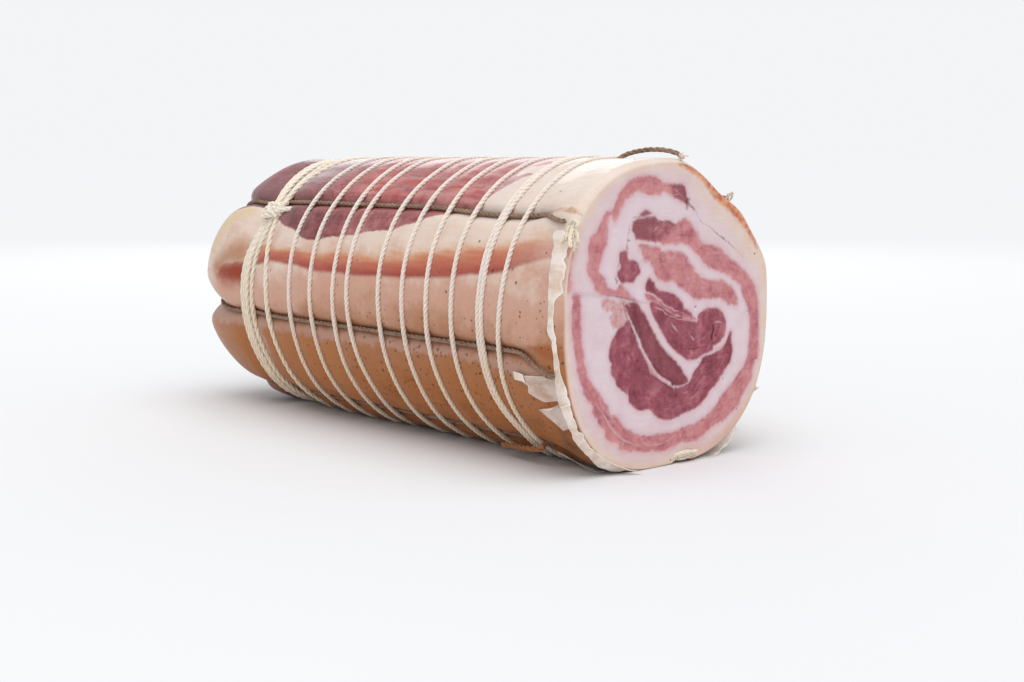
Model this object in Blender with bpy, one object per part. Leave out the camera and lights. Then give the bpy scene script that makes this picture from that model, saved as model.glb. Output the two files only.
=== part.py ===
"""Rolled pancetta: a tied roll of pork belly with one end cut off.

The roll lies along X on a small flat, with its cut face towards +X.
Sizes below are in millimetres; every mesh is written in metres, +Z up.
Section points are (across, up) pairs from the middle of the roll, as seen
when looking at the cut face. Angles run the same way, with 0 towards +Y
and 90 upwards.
"""

import math

import bmesh
import bpy

MM = 0.001

# Roll
HALF_WIDTH = 68.75
HALF_HEIGHT = 70.0
CENTRE_Z = 69.6
CUT_POWER = 2.5
TIED_POWER = 2.08
TIED_FROM = -45.0
FLAT_ANGLE = 50.0
FLAT_DISTANCE = 62.9
FLAT_BLEND = 9.0
SAG_ANGLE = 243.0
SAG_SPREAD = 28.0
SAG_HEIGHT = 3.0
REST_ANGLE = 288.0
REST_SPREAD = 14.0
REST_HEIGHT = 0.8
EDGE_LENGTH = 4.5
EDGE_ROUND_LEFT = 3.8
EDGE_ROUND_RIGHT = 0.8
CUT_STATIONS = (0.0, -1.6, -4.5, -18.0)
SIDE_STEP = 8.0

# Far end
DOME_START = -268.0
DOME_POWER = 2.6
DOME_STEPS = (10, 22, 34, 47, 60, 72, 81)
DOME_MEAN = 42.0
LOBE_LENGTHS = (38.0, 34.0, 31.0, 58.0, 60.0, 33.0, 38.0, 40.0)
LOBE_BLEND_RADIUS = 30.0
DIMPLE_DEPTH = 8.0
DIMPLE_RADIUS = 26.0
DOME_CREASE = 7.5
CREASE_SPREAD = 5.0
NECK_X = -252.0
NECK_LENGTH = 16.0
NECK_DEPTH = 2.4

# Lengthwise twines, one angle for each run, and the loops that they make
TWINE_RADIUS = 1.3
TWINE_ANGLES = (8.0, 49.0, 91.0, 137.0, 192.5, 235.0, 277.0, 328.0)
TWINE_LOOPS = ((4, 0), (5, 1), (6, 2), (7, 3))
TWINE_SIDES = 5
TWINE_STACK = 4.3
BOTTOM_TWINE = 277.0
TWINE_ABOVE_CREASE = 1.95
DOME_EXTRA_LIFT = 1.0
TWINE_NEAR_CUT = (-9.0, -16.0, -22.0)
TWINE_SETTLED = -26.0
TWINE_ALONG = (-35.5, -60.0, -100.0, -140.0, -180.0, -215.0, -232.0, -241.0, -248.0, -256.0, -262.0)
CREASE_START = -34.0
CREASE_FADE = 24.0

# Cross strings: place along the side, lean per mm of height and of width
STRING_RADIUS = 1.05
STRING_SIDES = 5
STRING_CHORD = 0.5
STRING_SINK = 1.2
STRING_RAISE = 1.85
STRING_FLOOR = 1.45
SUNK_FLOOR = 3.6
SHOULDER = 3.5
SHOULDER_SHARE = 0.42
PAIR_SPACING = 2.8

# The binding's knot, the tie below the first strings, and the knot's half sizes
# along the roll, around it and outwards
KNOT_ANGLE = 144.0
KNOT_X = -240.5
KNOT_SIZE = (10.5, 6.2, 2.8)
KNOT_TILT = 12.0
KNOT_LIFT = 2.35
TAIL_STEPS = ((2.0, 2.2), (7.0, 2.6), (12.5, 2.0))
TAIL_TURNS = (-2.5, 1.5)
TIE_ANGLE = 233.0

# Torn casing
FILM_FLOOR = 0.9
FILM_THICKNESS = 0.5
RIM_EDGE = (-3.4, -1.6, 0.0)

GAP = 0.3

# Lean layers: how far they run in from the cut, and how much they narrow by there
LEAN_LENGTH = 268.0
LEAN_TAPER = 0.05
LEAN_STEP = 12.0

# Bands that wind round the roll: (angle, inner radius, outer radius)
OUTER_STREAK = (
    (170, 55.9, 62.0),
    (190, 54.4, 60.8),
    (210, 54.8, 61.8),
    (230, 56.8, 63.9),
    (250, 57.0, 65.0),
    (270, 54.0, 62.3),
    (290, 55.5, 64.2),
    (308, 53.4, 67.0),
    (328, 58.5, 67.2),
    (345, 58.2, 65.0),
    (360, 54.5, 62.5),
    (375, 45.0, 57.0),
    (390, 36.0, 47.5),
    (405, 33.0, 40.5),
    (425, 33.0, 40.5),
    (440, 31.5, 43.0),
    (452, 31.3, 40.5),
    (468, 33.5, 46.5),
    (484, 38.8, 46.5),
)
TOP_BAND = (
    (79, 50.8, 54.7),
    (88, 52.5, 58.6),
    (97, 55.0, 60.0),
    (106, 56.0, 63.8),
    (114, 59.5, 65.3),
    (122, 58.8, 63.8),
    (130, 55.6, 61.0),
    (140, 53.5, 61.2),
    (150, 51.8, 59.8),
    (158, 48.8, 56.8),
)
TOP_BAND_HOOK = (
    (-47.5, 15.5), (-46, 12), (-38, 10.5), (-26, 8.5),
    (-22.5, 7.8), (-27.5, 11.5), (-35, 14), (-41, 16.5),
)

# Lean pieces inside the bands, as outlines of (across, up) points
MIDDLE_SLAB = (
    (-22, 31), (-15, 30.8), (-2, 30), (3, 28.3), (10, 27.7), (15, 24), (20, 18), (26, 15),
    (35, 13), (42, 10), (46, 6), (45, 2), (40, 1.5), (33, 4.5), (26, 5), (15, 4),
    (11, 6), (3, 12), (-2, 14), (-7, 16), (-12, 22), (-17, 26),
)
SMALL_LUMP = (
    (-33, 28), (-29, 29.5), (-27, 25), (-23, 24.5), (-20, 21),
    (-21, 17), (-26, 15), (-31, 16), (-35, 20), (-34, 25),
)
THIN_WEDGE = (
    (-16, 14), (-12, 16), (-9, 13), (-2, 9), (6, 6), (10, 2),
    (14, 0), (15, -2.5), (3, 0), (-4, 3), (-10, 8), (-16, 11),
)
HEART = (
    (-7, -4), (-2, -2), (5, -3), (13, -3), (18, -4), (21, -1), (28, 0.5), (33, -0.5),
    (37, -4), (38.5, -10), (37, -15), (33, -18), (28, -20), (23, -21.5), (15, -22.5),
    (8, -21), (1, -18), (-5, -14), (-7, -10), (-9, -7),
)
SLANTED_WEDGE = (
    (-29, 6), (-22, 7), (-19, 4), (-14, -2), (-10, -10), (-7, -15), (1, -21), (6, -26), (13, -31),
    (9, -33), (3, -32), (-2, -30), (-10, -24), (-15, -18), (-20, -12), (-23, -6), (-28, 0),
)
CORE = (
    (-30, -3.5), (-35, -4), (-38, -13), (-38, -23), (-34, -30), (-27, -36), (-22, -40), (-14, -42),
    (-10, -45), (-5, -47.5), (3, -48.5), (9, -47.5), (16, -45), (23, -42), (28, -38), (35, -33),
    (40, -28), (43, -22), (42, -15), (40.5, -13), (38.5, -18), (33, -20.5), (26, -22.5), (21, -23.5),
    (18, -28), (14, -33), (9, -35), (2, -34), (-5, -29.3), (-12, -23.3), (-19.5, -15), (-24.2, -6),
)

# The lean strip that shows along the side: (x, middle height, half height)
SIDE_STRIP = ((2.0, 94.0, 9.5), (-41.0, 92.0, 6.5), (-89.0, 84.0, 5.5), (-160.0, 84.5, 5.0), (-250.0, 84.0, 5.0))
SIDE_STRIP_DEPTH = 3.6
STRIP_BLOCK_REACH = 90.0
STRIP_SLOT_REACH = 95.0

# Free ends of the twines at the cut: (last x, turn to there, lift)
TWINE_ENDS = {
    8.0: (-14.0, 1.0, 0.0),
    49.0: (-2.5, 2.0, 3.0),
    137.0: (-9.0, 6.0, 1.3),
    192.5: (-3.0, 5.5, 2.0),
    235.0: (-33.0, 0.5, 1.0),
    277.0: (-1.5, 0.0, 0.0),
    328.0: (-2.5, -2.0, 1.2),
}
TOP_TWINE = 91.0
TOP_TWINE_ARCH = (
    (-32.0, 3.0, 141.1), (-25.5, 3.2, 142.5), (-18.5, 3.6, 143.3),
    (-11.5, 4.3, 143.3), (-6.0, 5.2, 142.6), (-2.0, 6.4, 141.2),
)
TIE_PATH = (
    (-33.5, 232.0, 2.2), (-36.5, 233.0, 4.6), (-41.0, 233.0, 5.6), (-46.5, 233.5, 5.6),
    (-51.0, 234.5, 5.0), (-57.0, 235.0, 4.2), (-65.0, 235.5, 4.8),
)


def rad(degrees):
    return math.radians(degrees)


def bump(angle, centre, spread):
    """A smooth hill of height 1 at centre, for angles in degrees."""
    turn = (angle - centre + 180.0) % 360.0 - 180.0
    return math.exp(-(turn / spread) ** 2)


def smooth_step(low, high, value):
    t = min(max((value - low) / (high - low), 0.0), 1.0)
    return t * t * (3.0 - 2.0 * t)


def smooth_min(a, b, width):
    blend = max(width - abs(a - b), 0.0) / width
    return min(a, b) - blend * blend * width * 0.25


def section_radius(angle, x):
    """The roll's radius, squarish at the cut and round on the left where strings hold it."""
    tied = smooth_step(0.0, TIED_FROM, x) * smooth_step(-0.1, 0.5, -math.cos(rad(angle)))
    power = CUT_POWER + (TIED_POWER - CUT_POWER) * tied
    c = abs(math.cos(rad(angle))) / HALF_WIDTH
    s = abs(math.sin(rad(angle))) / HALF_HEIGHT
    radius = (c ** power + s ** power) ** (-1.0 / power)
    facing = math.cos(rad(angle - FLAT_ANGLE))
    if facing > 0.4:
        radius = smooth_min(radius, FLAT_DISTANCE / facing, FLAT_BLEND)
    radius += SAG_HEIGHT * bump(angle, SAG_ANGLE, SAG_SPREAD)
    return radius + REST_HEIGHT * bump(angle, REST_ANGLE, REST_SPREAD)


def edge_round(angle, x):
    """How far the rounded edge of the cut lies inside the side."""
    near = max(1.0 + x / EDGE_LENGTH, 0.0)
    left = 0.5 - 0.5 * math.cos(rad(angle))
    return near * near * (EDGE_ROUND_RIGHT + (EDGE_ROUND_LEFT - EDGE_ROUND_RIGHT) * left)


def roll_radius(angle, x):
    """The roll before strings and twines press it in, with its edge and its neck."""
    neck = NECK_DEPTH * math.exp(-((x - NECK_X) / NECK_LENGTH) ** 2)
    return section_radius(angle, x) - neck - edge_round(angle, x)


def place(x, angle, radius, floor=0.0):
    """A point of the roll in millimetres, no lower than floor."""
    y = radius * math.cos(rad(angle))
    z = CENTRE_Z + radius * math.sin(rad(angle))
    return (x, y, max(z, floor))


class Ring:
    """One cross string. Its place slides along the roll with the angle."""

    def __init__(self, name, x, rise=0.0, across=0.0, pulls=()):
        self.name = name
        self.x = x
        self.rise = rise
        self.across = across
        self.pulls = pulls

    def at(self, angle):
        x = self.x
        x += self.rise * math.sin(rad(angle))
        x += self.across * (1.0 + math.cos(rad(angle)))
        for centre, spread, shift in self.pulls:
            x += shift * bump(angle, centre, spread)
        return x


# From the cut end to the far end. Each group shares one trough.
RING_GROUPS = (
    (Ring("string_01", -37.8, 0.5, 0.0, ((210.0, 28.0, -4.0),)),),
    (
        Ring("string_02_front", -51.7, 0.5, 0.0, ((TIE_ANGLE, 17.0, 7.5),)),
        Ring("string_02_back", -51.7 - PAIR_SPACING, 0.5, 0.0, ((TIE_ANGLE, 17.0, 7.5),)),
    ),
    (Ring("string_03", -73.3, 0.0, 0.5, ((235.0, 20.0, 4.0),)),),
    (Ring("string_04", -92.1, -0.8, 0.5, ((235.0, 20.0, 2.5),)),),
    (Ring("string_05", -110.0, -0.8, -0.5),),
    (Ring("string_06", -129.2, -0.8, 0.0),),
    (Ring("string_07", -156.0, 0.0, 0.5, ((220.0, 28.0, 4.5),)),),
    (Ring("string_08", -167.9, -0.5, -0.5),),
    (Ring("string_09", -188.4, 0.8, 0.5),),
    (Ring("string_10", -208.2, 1.0, 0.5),),
    (Ring("string_11", -230.0, 0.0, 0.0, ((140.0, 25.0, -5.0),)),),
    (
        Ring("string_12", -248.5, 1.5, 0.0, ((134.0, 30.0, 11.0),)),
        Ring("string_13_front", -253.0, 2.5, 0.0, ((143.0, 20.0, 9.5),)),
        Ring("string_13_middle", -253.0 - PAIR_SPACING, 2.5, 0.0, ((143.0, 20.0, 9.5),)),
        Ring("string_13_back", -253.0 - 2.0 * PAIR_SPACING, 2.5, 0.0, ((143.0, 20.0, 9.5),)),
    ),
)
KNOTTED = ("string_11", "string_12", "string_13_front", "string_13_middle", "string_13_back")


def body_angles():
    """The section's angles: evenly between twines, with one on each twine."""
    angles = []
    for i, start in enumerate(TWINE_ANGLES):
        end = TWINE_ANGLES[(i + 1) % len(TWINE_ANGLES)]
        width = (end - start) % 360.0
        count = round(width / SIDE_STEP)
        angles += [start + width * j / count for j in range(count)]
    return angles


def crease_bottom(angle, x):
    """The radius at the bottom of the crease that a twine lies in."""
    string = place(0.0, angle, roll_radius(angle, x) - STRING_SINK + STRING_RAISE, STRING_FLOOR)
    radius = math.hypot(string[1], string[2] - CENTRE_Z)
    string_inner = radius - STRING_RADIUS - (STRING_RAISE - STRING_RADIUS - GAP)
    return string_inner - GAP - TWINE_RADIUS - TWINE_ABOVE_CREASE


def crease_share(angle, radius, spread):
    """How far a point lies in the nearest twine's crease, from 0 to 1."""
    share = 0.0
    for twine in TWINE_ANGLES:
        turn = (angle - twine + 180.0) % 360.0 - 180.0
        share = max(share, math.exp(-(rad(turn) * radius / spread) ** 2))
    return share


def crease_fade(angle, x):
    """Creases run out before the cut, but for the one that the roll lies on."""
    fade = smooth_step(CREASE_START + CREASE_FADE, CREASE_START, x)
    return max(fade, smooth_step(0.3, 0.6, bump(angle, BOTTOM_TWINE, 8.0)))


def side_point(x, angle, sunk):
    """A point of the side, pressed in by a string where sunk is 1."""
    outer = roll_radius(angle, x)
    radius = outer - STRING_SINK * sunk
    share = crease_share(angle, outer, CREASE_SPREAD * 0.8) * crease_fade(angle, x)
    radius += (min(crease_bottom(angle, x), radius) - radius) * share
    return place(x, angle, radius, SUNK_FLOOR * sunk)


def side_stations():
    """For each station along the roll, a place that may vary with the angle, and its sink."""
    stations = [(lambda angle, x=x: x, 0.0) for x in CUT_STATIONS]
    for i, group in enumerate(RING_GROUPS):
        if i > 0:
            before = RING_GROUPS[i - 1][-1]
            stations += shoulders(before, group[0])
        else:
            stations.append((lambda angle, ring=group[0]: ring.at(angle) + SHOULDER, 0.0))
        stations += [(ring.at, 1.0) for ring in group]
    last = RING_GROUPS[-1][-1]
    stations.append((lambda angle: last.at(angle) - SHOULDER, 0.0))
    return stations


def shoulders(front, back):
    """The two stations between one trough and the next."""
    def reach(angle):
        return min(SHOULDER, SHOULDER_SHARE * (front.at(angle) - back.at(angle)))
    return [
        (lambda angle: front.at(angle) - reach(angle), 0.0),
        (lambda angle: back.at(angle) + reach(angle), 0.0),
    ]


def lobe_length(angle, radius):
    """How far the far end bulges at an angle, evened out towards its middle."""
    middles = []
    for i, start in enumerate(TWINE_ANGLES):
        width = (TWINE_ANGLES[(i + 1) % len(TWINE_ANGLES)] - start) % 360.0
        middles.append((start + width / 2.0, LOBE_LENGTHS[i]))
    weights = [(bump(angle, middle, 30.0), length) for middle, length in middles]
    total = sum(weight for weight, length in weights)
    own = sum(weight * length for weight, length in weights) / total
    return DOME_MEAN + (own - DOME_MEAN) * smooth_step(0.0, LOBE_BLEND_RADIUS, radius)


def dome_point(step, angle, lift=None):
    """A point of the far end; lift raises it from the crease's bottom for a twine."""
    start = roll_radius(angle, DOME_START)
    out = math.sin(rad(step)) ** (2.0 / DOME_POWER)
    radius = start * math.cos(rad(step)) ** (2.0 / DOME_POWER)
    x = DOME_START - lobe_length(angle, radius) * out
    x += DIMPLE_DEPTH * math.exp(-(radius / DIMPLE_RADIUS) ** 2)
    side_depth = start - crease_bottom(angle, DOME_START)
    depth = side_depth + (DOME_CREASE - side_depth) * math.sin(rad(2.0 * step))
    if lift is None:
        depth *= crease_share(angle, radius, CREASE_SPREAD)
    else:
        depth -= lift
    radius -= depth * math.cos(rad(step))
    x += depth * math.sin(rad(step))
    return place(x, angle, max(radius, 0.0), 0.0)


def new_object(name, points, faces, material, smooth=True):
    """A mesh object from points in millimetres."""
    mesh = bpy.data.meshes.new(name)
    mesh.from_pydata([tuple(value * MM for value in point) for point in points], [], faces)
    mesh.materials.append(material)
    obj = bpy.data.objects.new(name, mesh)
    bpy.context.scene.collection.objects.link(obj)
    face_outwards(mesh)
    if smooth:
        mesh.shade_smooth()
        mesh.set_sharp_from_angle(angle=rad(40.0))
    return obj


def face_outwards(mesh):
    bm = bmesh.new()
    bm.from_mesh(mesh)
    bmesh.ops.recalc_face_normals(bm, faces=bm.faces)
    bm.to_mesh(mesh)
    bm.free()


def finish_material(name, colour, roughness, alpha=1.0):
    material = bpy.data.materials.new(name)
    material.use_nodes = True
    shader = material.node_tree.nodes["Principled BSDF"]
    shader.inputs["Base Color"].default_value = (*colour, 1.0)
    shader.inputs["Roughness"].default_value = roughness
    shader.inputs["Alpha"].default_value = alpha
    material.diffuse_color = (*colour, 1.0)
    return material


def bridge(rows, count):
    """Quads between neighbouring rows of count points each, closed around."""
    faces = []
    for row in range(rows - 1):
        for i in range(count):
            a = row * count + i
            b = row * count + (i + 1) % count
            faces.append((a, b, b + count, a + count))
    return faces


def make_roll(material):
    angles = body_angles()
    count = len(angles)
    points = []
    rows = 0
    for where, sunk in side_stations():
        points += [side_point(where(angle), angle, sunk) for angle in angles]
        rows += 1
    for step in (0,) + DOME_STEPS:
        points += [dome_point(step, angle) for angle in angles]
        rows += 1
    faces = bridge(rows, count)
    faces.append(tuple(reversed(range(count))))
    last = (rows - 1) * count
    tip = len(points)
    points.append(dome_point(90, TWINE_ANGLES[0]))
    faces += [(last + i, last + (i + 1) % count, tip) for i in range(count)]
    return new_object("belly_roll", points, faces, material)


def subtract(a, b):
    return tuple(p - q for p, q in zip(a, b))


def cross(a, b):
    return (
        a[1] * b[2] - a[2] * b[1],
        a[2] * b[0] - a[0] * b[2],
        a[0] * b[1] - a[1] * b[0],
    )


def unit(a):
    size = math.sqrt(sum(value * value for value in a))
    return tuple(value / size for value in a)


def tube(path, radius, sides, outward, closed):
    """Points and faces of a tube along path; outward(point) gives each ring's up side."""
    points = []
    total = len(path)
    for i, centre in enumerate(path):
        if closed:
            ahead = path[(i + 1) % total]
            behind = path[i - 1]
        else:
            ahead = path[min(i + 1, total - 1)]
            behind = path[max(i - 1, 0)]
        along = unit(subtract(ahead, behind))
        side = unit(cross(along, outward(centre)))
        up = cross(side, along)
        for j in range(sides):
            turn = rad(90.0 + 360.0 * j / sides)
            points.append(tuple(
                centre[axis] + radius * (math.cos(turn) * side[axis] + math.sin(turn) * up[axis])
                for axis in range(3)
            ))
    faces = bridge(total, sides)
    if closed:
        last = (total - 1) * sides
        for j in range(sides):
            k = (j + 1) % sides
            faces.append((last + j, last + k, k, j))
    else:
        last = (total - 1) * sides
        faces.append(tuple(reversed(range(sides))))
        faces.append(tuple(last + j for j in range(sides)))
    return points, faces


def away_from_axis(point):
    return unit((0.0, point[1], point[2] - CENTRE_Z))


def string_point(ring, angle):
    x = ring.at(angle)
    radius = roll_radius(angle, x) - STRING_SINK + STRING_RAISE
    return place(x, angle, radius, STRING_FLOOR)


def off_chord(point, start, end):
    """How far a point lies from the straight line between two others."""
    along = unit(subtract(end, start))
    across = cross(subtract(point, start), along)
    return math.sqrt(sum(value * value for value in across))


def taut_path(ring):
    """The string's path, with as few points as keep its chords close to the curve."""
    fine = [string_point(ring, angle) for angle in range(0, 360, 3)]
    path = []
    start = 0
    while start < len(fine):
        path.append(fine[start])
        end = start + 2
        while end <= len(fine):
            middle = [off_chord(fine[k], fine[start], fine[end % len(fine)]) for k in range(start + 1, end)]
            if max(middle) > STRING_CHORD:
                break
            end += 1
        start = end - 1
    return path


def make_string(ring, material):
    points, faces = tube(taut_path(ring), STRING_RADIUS, STRING_SIDES, away_from_axis, True)
    return new_object(ring.name, points, faces, material)


def knot_point(along):
    """A point of the knot's middle line, which follows the roll's slope."""
    x = KNOT_X + along
    return place(x, KNOT_ANGLE, roll_radius(KNOT_ANGLE, x) + STRING_RAISE - STRING_SINK + KNOT_LIFT)


def knot_lump(size, tilt, name, material):
    """A small rounded lump: sizes are along the roll, around it and outwards."""
    bm = bmesh.new()
    bmesh.ops.create_uvsphere(bm, u_segments=9, v_segments=6, radius=1.0)
    centre = knot_point(0.0)
    along = unit(subtract(knot_point(1.0), knot_point(-1.0)))
    around = unit(cross(away_from_axis(centre), along))
    out = cross(along, around)
    c, t = math.cos(rad(tilt)), math.sin(rad(tilt))
    points = []
    for vert in bm.verts:
        a, b, h = vert.co.x * size[0], vert.co.y * size[1], vert.co.z * size[2]
        a, b = a * c - b * t, a * t + b * c
        points.append(tuple(centre[k] + a * along[k] + b * around[k] + h * out[k] for k in range(3)))
    faces = [tuple(vert.index for vert in face.verts) for face in bm.faces]
    bm.free()
    return new_object(name, points, faces, material)


def make_binding(rings, material):
    """The thick binding: its strands, the knot that ties them, and two cut tails."""
    pieces = [make_string(ring, material) for ring in rings]
    radius = roll_radius(KNOT_ANGLE, KNOT_X) + STRING_RAISE - STRING_SINK
    pieces.append(knot_lump(KNOT_SIZE, KNOT_TILT, "knot_lump", material))
    for turn in TAIL_TURNS:
        path = [place(KNOT_X + along, KNOT_ANGLE + turn, radius + lift) for along, lift in TAIL_STEPS]
        points, faces = tube(path, STRING_RADIUS, STRING_SIDES, away_from_axis, False)
        pieces.append(new_object("knot_tail", points, faces, material))
    return join_by_union("string_binding", pieces, material)


def join_by_union(name, pieces, material):
    """One closed body from overlapping pieces, which are then removed."""
    base = pieces[0]
    group = bpy.data.collections.new(name + "_parts")
    bpy.context.scene.collection.children.link(group)
    for piece in pieces[1:]:
        bpy.context.scene.collection.objects.unlink(piece)
        group.objects.link(piece)
    modifier = base.modifiers.new("join", "BOOLEAN")
    modifier.operation = "UNION"
    modifier.operand_type = "COLLECTION"
    modifier.collection = group
    modifier.solver = "EXACT"
    apply_modifiers(base)
    for piece in pieces[1:]:
        bpy.data.objects.remove(piece, do_unlink=True)
    bpy.data.collections.remove(group)
    base.name = name
    base.data.name = name
    return base


def apply_modifiers(obj):
    """Swap the object's mesh for the one that its modifiers make."""
    depsgraph = bpy.context.evaluated_depsgraph_get()
    mesh = bpy.data.meshes.new_from_object(obj.evaluated_get(depsgraph), depsgraph=depsgraph)
    obj.modifiers.clear()
    obj.data = mesh


def twine_radius_at(angle, x):
    """Where a twine's middle lies: in its crease, or on the surface near the cut."""
    outer = roll_radius(angle, x)
    return outer + (crease_bottom(angle, x) - outer) * crease_fade(angle, x) + TWINE_ABOVE_CREASE


def twine_run(angle):
    """A twine's path along the side, from its free end to the far end."""
    path = []
    start = 0.0
    if angle == TOP_TWINE:
        path += reversed(TOP_TWINE_ARCH)
    else:
        start, turn, lift = TWINE_ENDS[angle]
        for x in [start] + [x for x in TWINE_NEAR_CUT if x < start - 1.0]:
            share = smooth_step(TWINE_SETTLED, start, x) if start > TWINE_SETTLED else 1.0
            turned = angle + turn * share
            path.append(place(x, turned, twine_radius_at(turned, x) + lift * share, TWINE_RADIUS + GAP))
    for x in TWINE_ALONG:
        if x < start:
            path.append(place(x, angle, twine_radius_at(angle, x)))
    for step in (0,) + DOME_STEPS[:-1]:
        lift = TWINE_ABOVE_CREASE + DOME_EXTRA_LIFT * math.sin(rad(2.0 * step))
        path.append(dome_point(step, angle, lift))
    return path


def make_twine_loop(number, angles, material):
    """A twine that runs along the roll, over the far end and back along the other side."""
    stack = number * TWINE_STACK
    first, second = (twine_run(angle) for angle in angles)
    middle = [dome_point(90, angle, TWINE_ABOVE_CREASE) for angle in angles]
    crossing = tuple((middle[0][k] + middle[1][k]) / 2.0 for k in range(3))
    path = []
    for run in (first, second):
        lifted = list(run)
        for back, share in ((1, 0.95), (2, 0.4)):
            x, y, z = lifted[-back]
            lifted[-back] = (x - stack * share, y, z)
        path.append(lifted)
    top = (crossing[0] - stack, crossing[1], crossing[2])
    whole = path[0] + [top] + list(reversed(path[1]))

    def outward(point):
        reach = math.hypot(point[1], point[2] - CENTRE_Z)
        if point[0] < DOME_START - 25.0 or reach < 1.0:
            return (-1.0, 0.0, 0.0)
        return away_from_axis(point)

    points, faces = tube(whole, TWINE_RADIUS, TWINE_SIDES, outward, False)
    return new_object("twine_loop_%d" % (number + 1), points, faces, material)


def make_tie(material):
    """The brown end that ties the two first strings together below."""
    path = []
    for x, angle, lift in TIE_PATH:
        path.append(place(x, angle, roll_radius(angle, x) + lift, TWINE_RADIUS + GAP))
    points, faces = tube(path, TWINE_RADIUS, TWINE_SIDES, away_from_axis, False)
    return new_object("twine_tie", points, faces, material)


def keyed(rows, angle, column):
    """A smooth curve through a band's rows, read at an angle."""
    for i in range(len(rows) - 1):
        if rows[i][0] <= angle <= rows[i + 1][0]:
            break
    before = rows[max(i - 1, 0)]
    start, end = rows[i], rows[i + 1]
    after = rows[min(i + 2, len(rows) - 1)]
    span = end[0] - start[0]
    t = (angle - start[0]) / span
    slope_in = (end[column] - before[column]) / max(end[0] - before[0], 1) * span
    slope_out = (after[column] - start[column]) / max(after[0] - start[0], 1) * span
    t2, t3 = t * t, t * t * t
    return (
        (2 * t3 - 3 * t2 + 1) * start[column] + (t3 - 2 * t2 + t) * slope_in
        + (3 * t2 - 2 * t3) * end[column] + (t3 - t2) * slope_out
    )


def band_outline(rows):
    """The outline of a band: along its outer side and back along its inner side."""
    count = round((rows[-1][0] - rows[0][0]) / LEAN_STEP)
    angles = [rows[0][0] + (rows[-1][0] - rows[0][0]) * i / count for i in range(count + 1)]
    outer = [polar(angle, keyed(rows, angle, 2)) for angle in angles]
    inner = [polar(angle, keyed(rows, angle, 1)) for angle in angles]
    return outer, inner


def polar(angle, radius):
    return (radius * math.cos(rad(angle)), radius * math.sin(rad(angle)))


def signed_area(outline):
    total = 0.0
    for (y0, z0), (y1, z1) in zip(outline, outline[1:] + outline[:1]):
        total += y0 * z1 - y1 * z0
    return total / 2.0


def offset(outline, distance):
    """The outline moved outwards by distance, corner by corner."""
    if signed_area(outline) < 0.0:
        outline = list(reversed(outline))
    moved = []
    for i, (y, z) in enumerate(outline):
        before = outline[i - 1]
        after = outline[(i + 1) % len(outline)]
        normals = []
        for (y0, z0), (y1, z1) in ((before, (y, z)), ((y, z), after)):
            size = math.hypot(y1 - y0, z1 - z0)
            normals.append(((z1 - z0) / size, -(y1 - y0) / size))
        ny = normals[0][0] + normals[1][0]
        nz = normals[0][1] + normals[1][1]
        reach = max((ny * ny + nz * nz) / 2.0, 0.5)
        moved.append((y + distance * ny / reach, z + distance * nz / reach))
    return moved


def prism(name, outline, near, far, material):
    """A lean layer as a solid that runs along the roll and narrows a little."""
    points = []
    for x in (near, far):
        scale = 1.0 + LEAN_TAPER * x / LEAN_LENGTH
        points += [(x, y * scale, CENTRE_Z + z * scale) for y, z in outline]
    count = len(outline)
    faces = bridge(2, count)
    faces.append(tuple(reversed(range(count))))
    faces.append(tuple(range(count, 2 * count)))
    return new_object(name, points, faces, material, smooth=False)


def cut(target, cutter, operation="DIFFERENCE"):
    modifier = target.modifiers.new(cutter.name, "BOOLEAN")
    modifier.operation = operation
    modifier.solver = "EXACT"
    modifier.object = cutter
    apply_modifiers(target)
    bpy.data.objects.remove(cutter, do_unlink=True)


def make_lean_layers(roll, material):
    """Every lean layer of the cut face, each in a pocket that is open at the cut."""
    streak_outer, streak_inner = band_outline(OUTER_STREAK)
    top_outer, top_inner = band_outline(TOP_BAND)
    layers = {
        "lean_outer_streak": streak_outer + list(reversed(streak_inner)),
        "lean_top_band": top_outer + list(TOP_BAND_HOOK) + list(reversed(top_inner)),
        "lean_middle_slab": list(MIDDLE_SLAB),
        "lean_small_lump": list(SMALL_LUMP),
        "lean_thin_wedge": list(THIN_WEDGE),
        "lean_heart": list(HEART),
        "lean_slanted_wedge": list(SLANTED_WEDGE),
        "lean_core": list(CORE),
    }
    for name, outline in layers.items():
        pocket = prism("pocket", offset(outline, GAP / 2.0), 2.0, -LEAN_LENGTH - GAP, material)
        cut(roll, pocket)
        prism(name, offset(outline, -GAP / 2.0), 0.0, -LEAN_LENGTH, material)


def strip_solid(name, roll_side, grow, material):
    """A block along the side from which the side strip and its slot are shaped."""
    points = []
    for x, middle, half in SIDE_STRIP:
        half += grow
        inner = []
        for z in (middle - half, middle, middle + half):
            angle = math.degrees(math.asin(min(max((z - CENTRE_Z) / HALF_HEIGHT, -1.0), 1.0)))
            angle = 180.0 - angle * 1.02
            radius = roll_radius(angle, x) - SIDE_STRIP_DEPTH - grow
            inner.append((x, radius * math.cos(rad(angle)), z))
        points += inner
        points.append((x, -roll_side, middle + half))
        points.append((x, -roll_side, middle - half))
    faces = []
    for a, b, c, d in bridge(len(SIDE_STRIP), 5):
        faces += [(a, b, c), (a, c, d)]
    faces.append(tuple(reversed(range(5))))
    faces.append(tuple(len(points) - 5 + i for i in range(5)))
    return new_object(name, points, faces, material, smooth=False)


def make_side_strip(roll, material):
    """The lean strip let into the side, flush with it and open at the cut."""
    strip = roll.copy()
    strip.data = roll.data.copy()
    strip.name = "lean_side_strip"
    bpy.context.scene.collection.objects.link(strip)
    cut(strip, strip_solid("strip_block", STRIP_BLOCK_REACH, -GAP / 2.0, material), "INTERSECT")
    cut(roll, strip_solid("strip_slot", STRIP_SLOT_REACH, GAP / 2.0, material))
    strip.data.materials.clear()
    strip.data.materials.append(material)
    return strip


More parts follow.
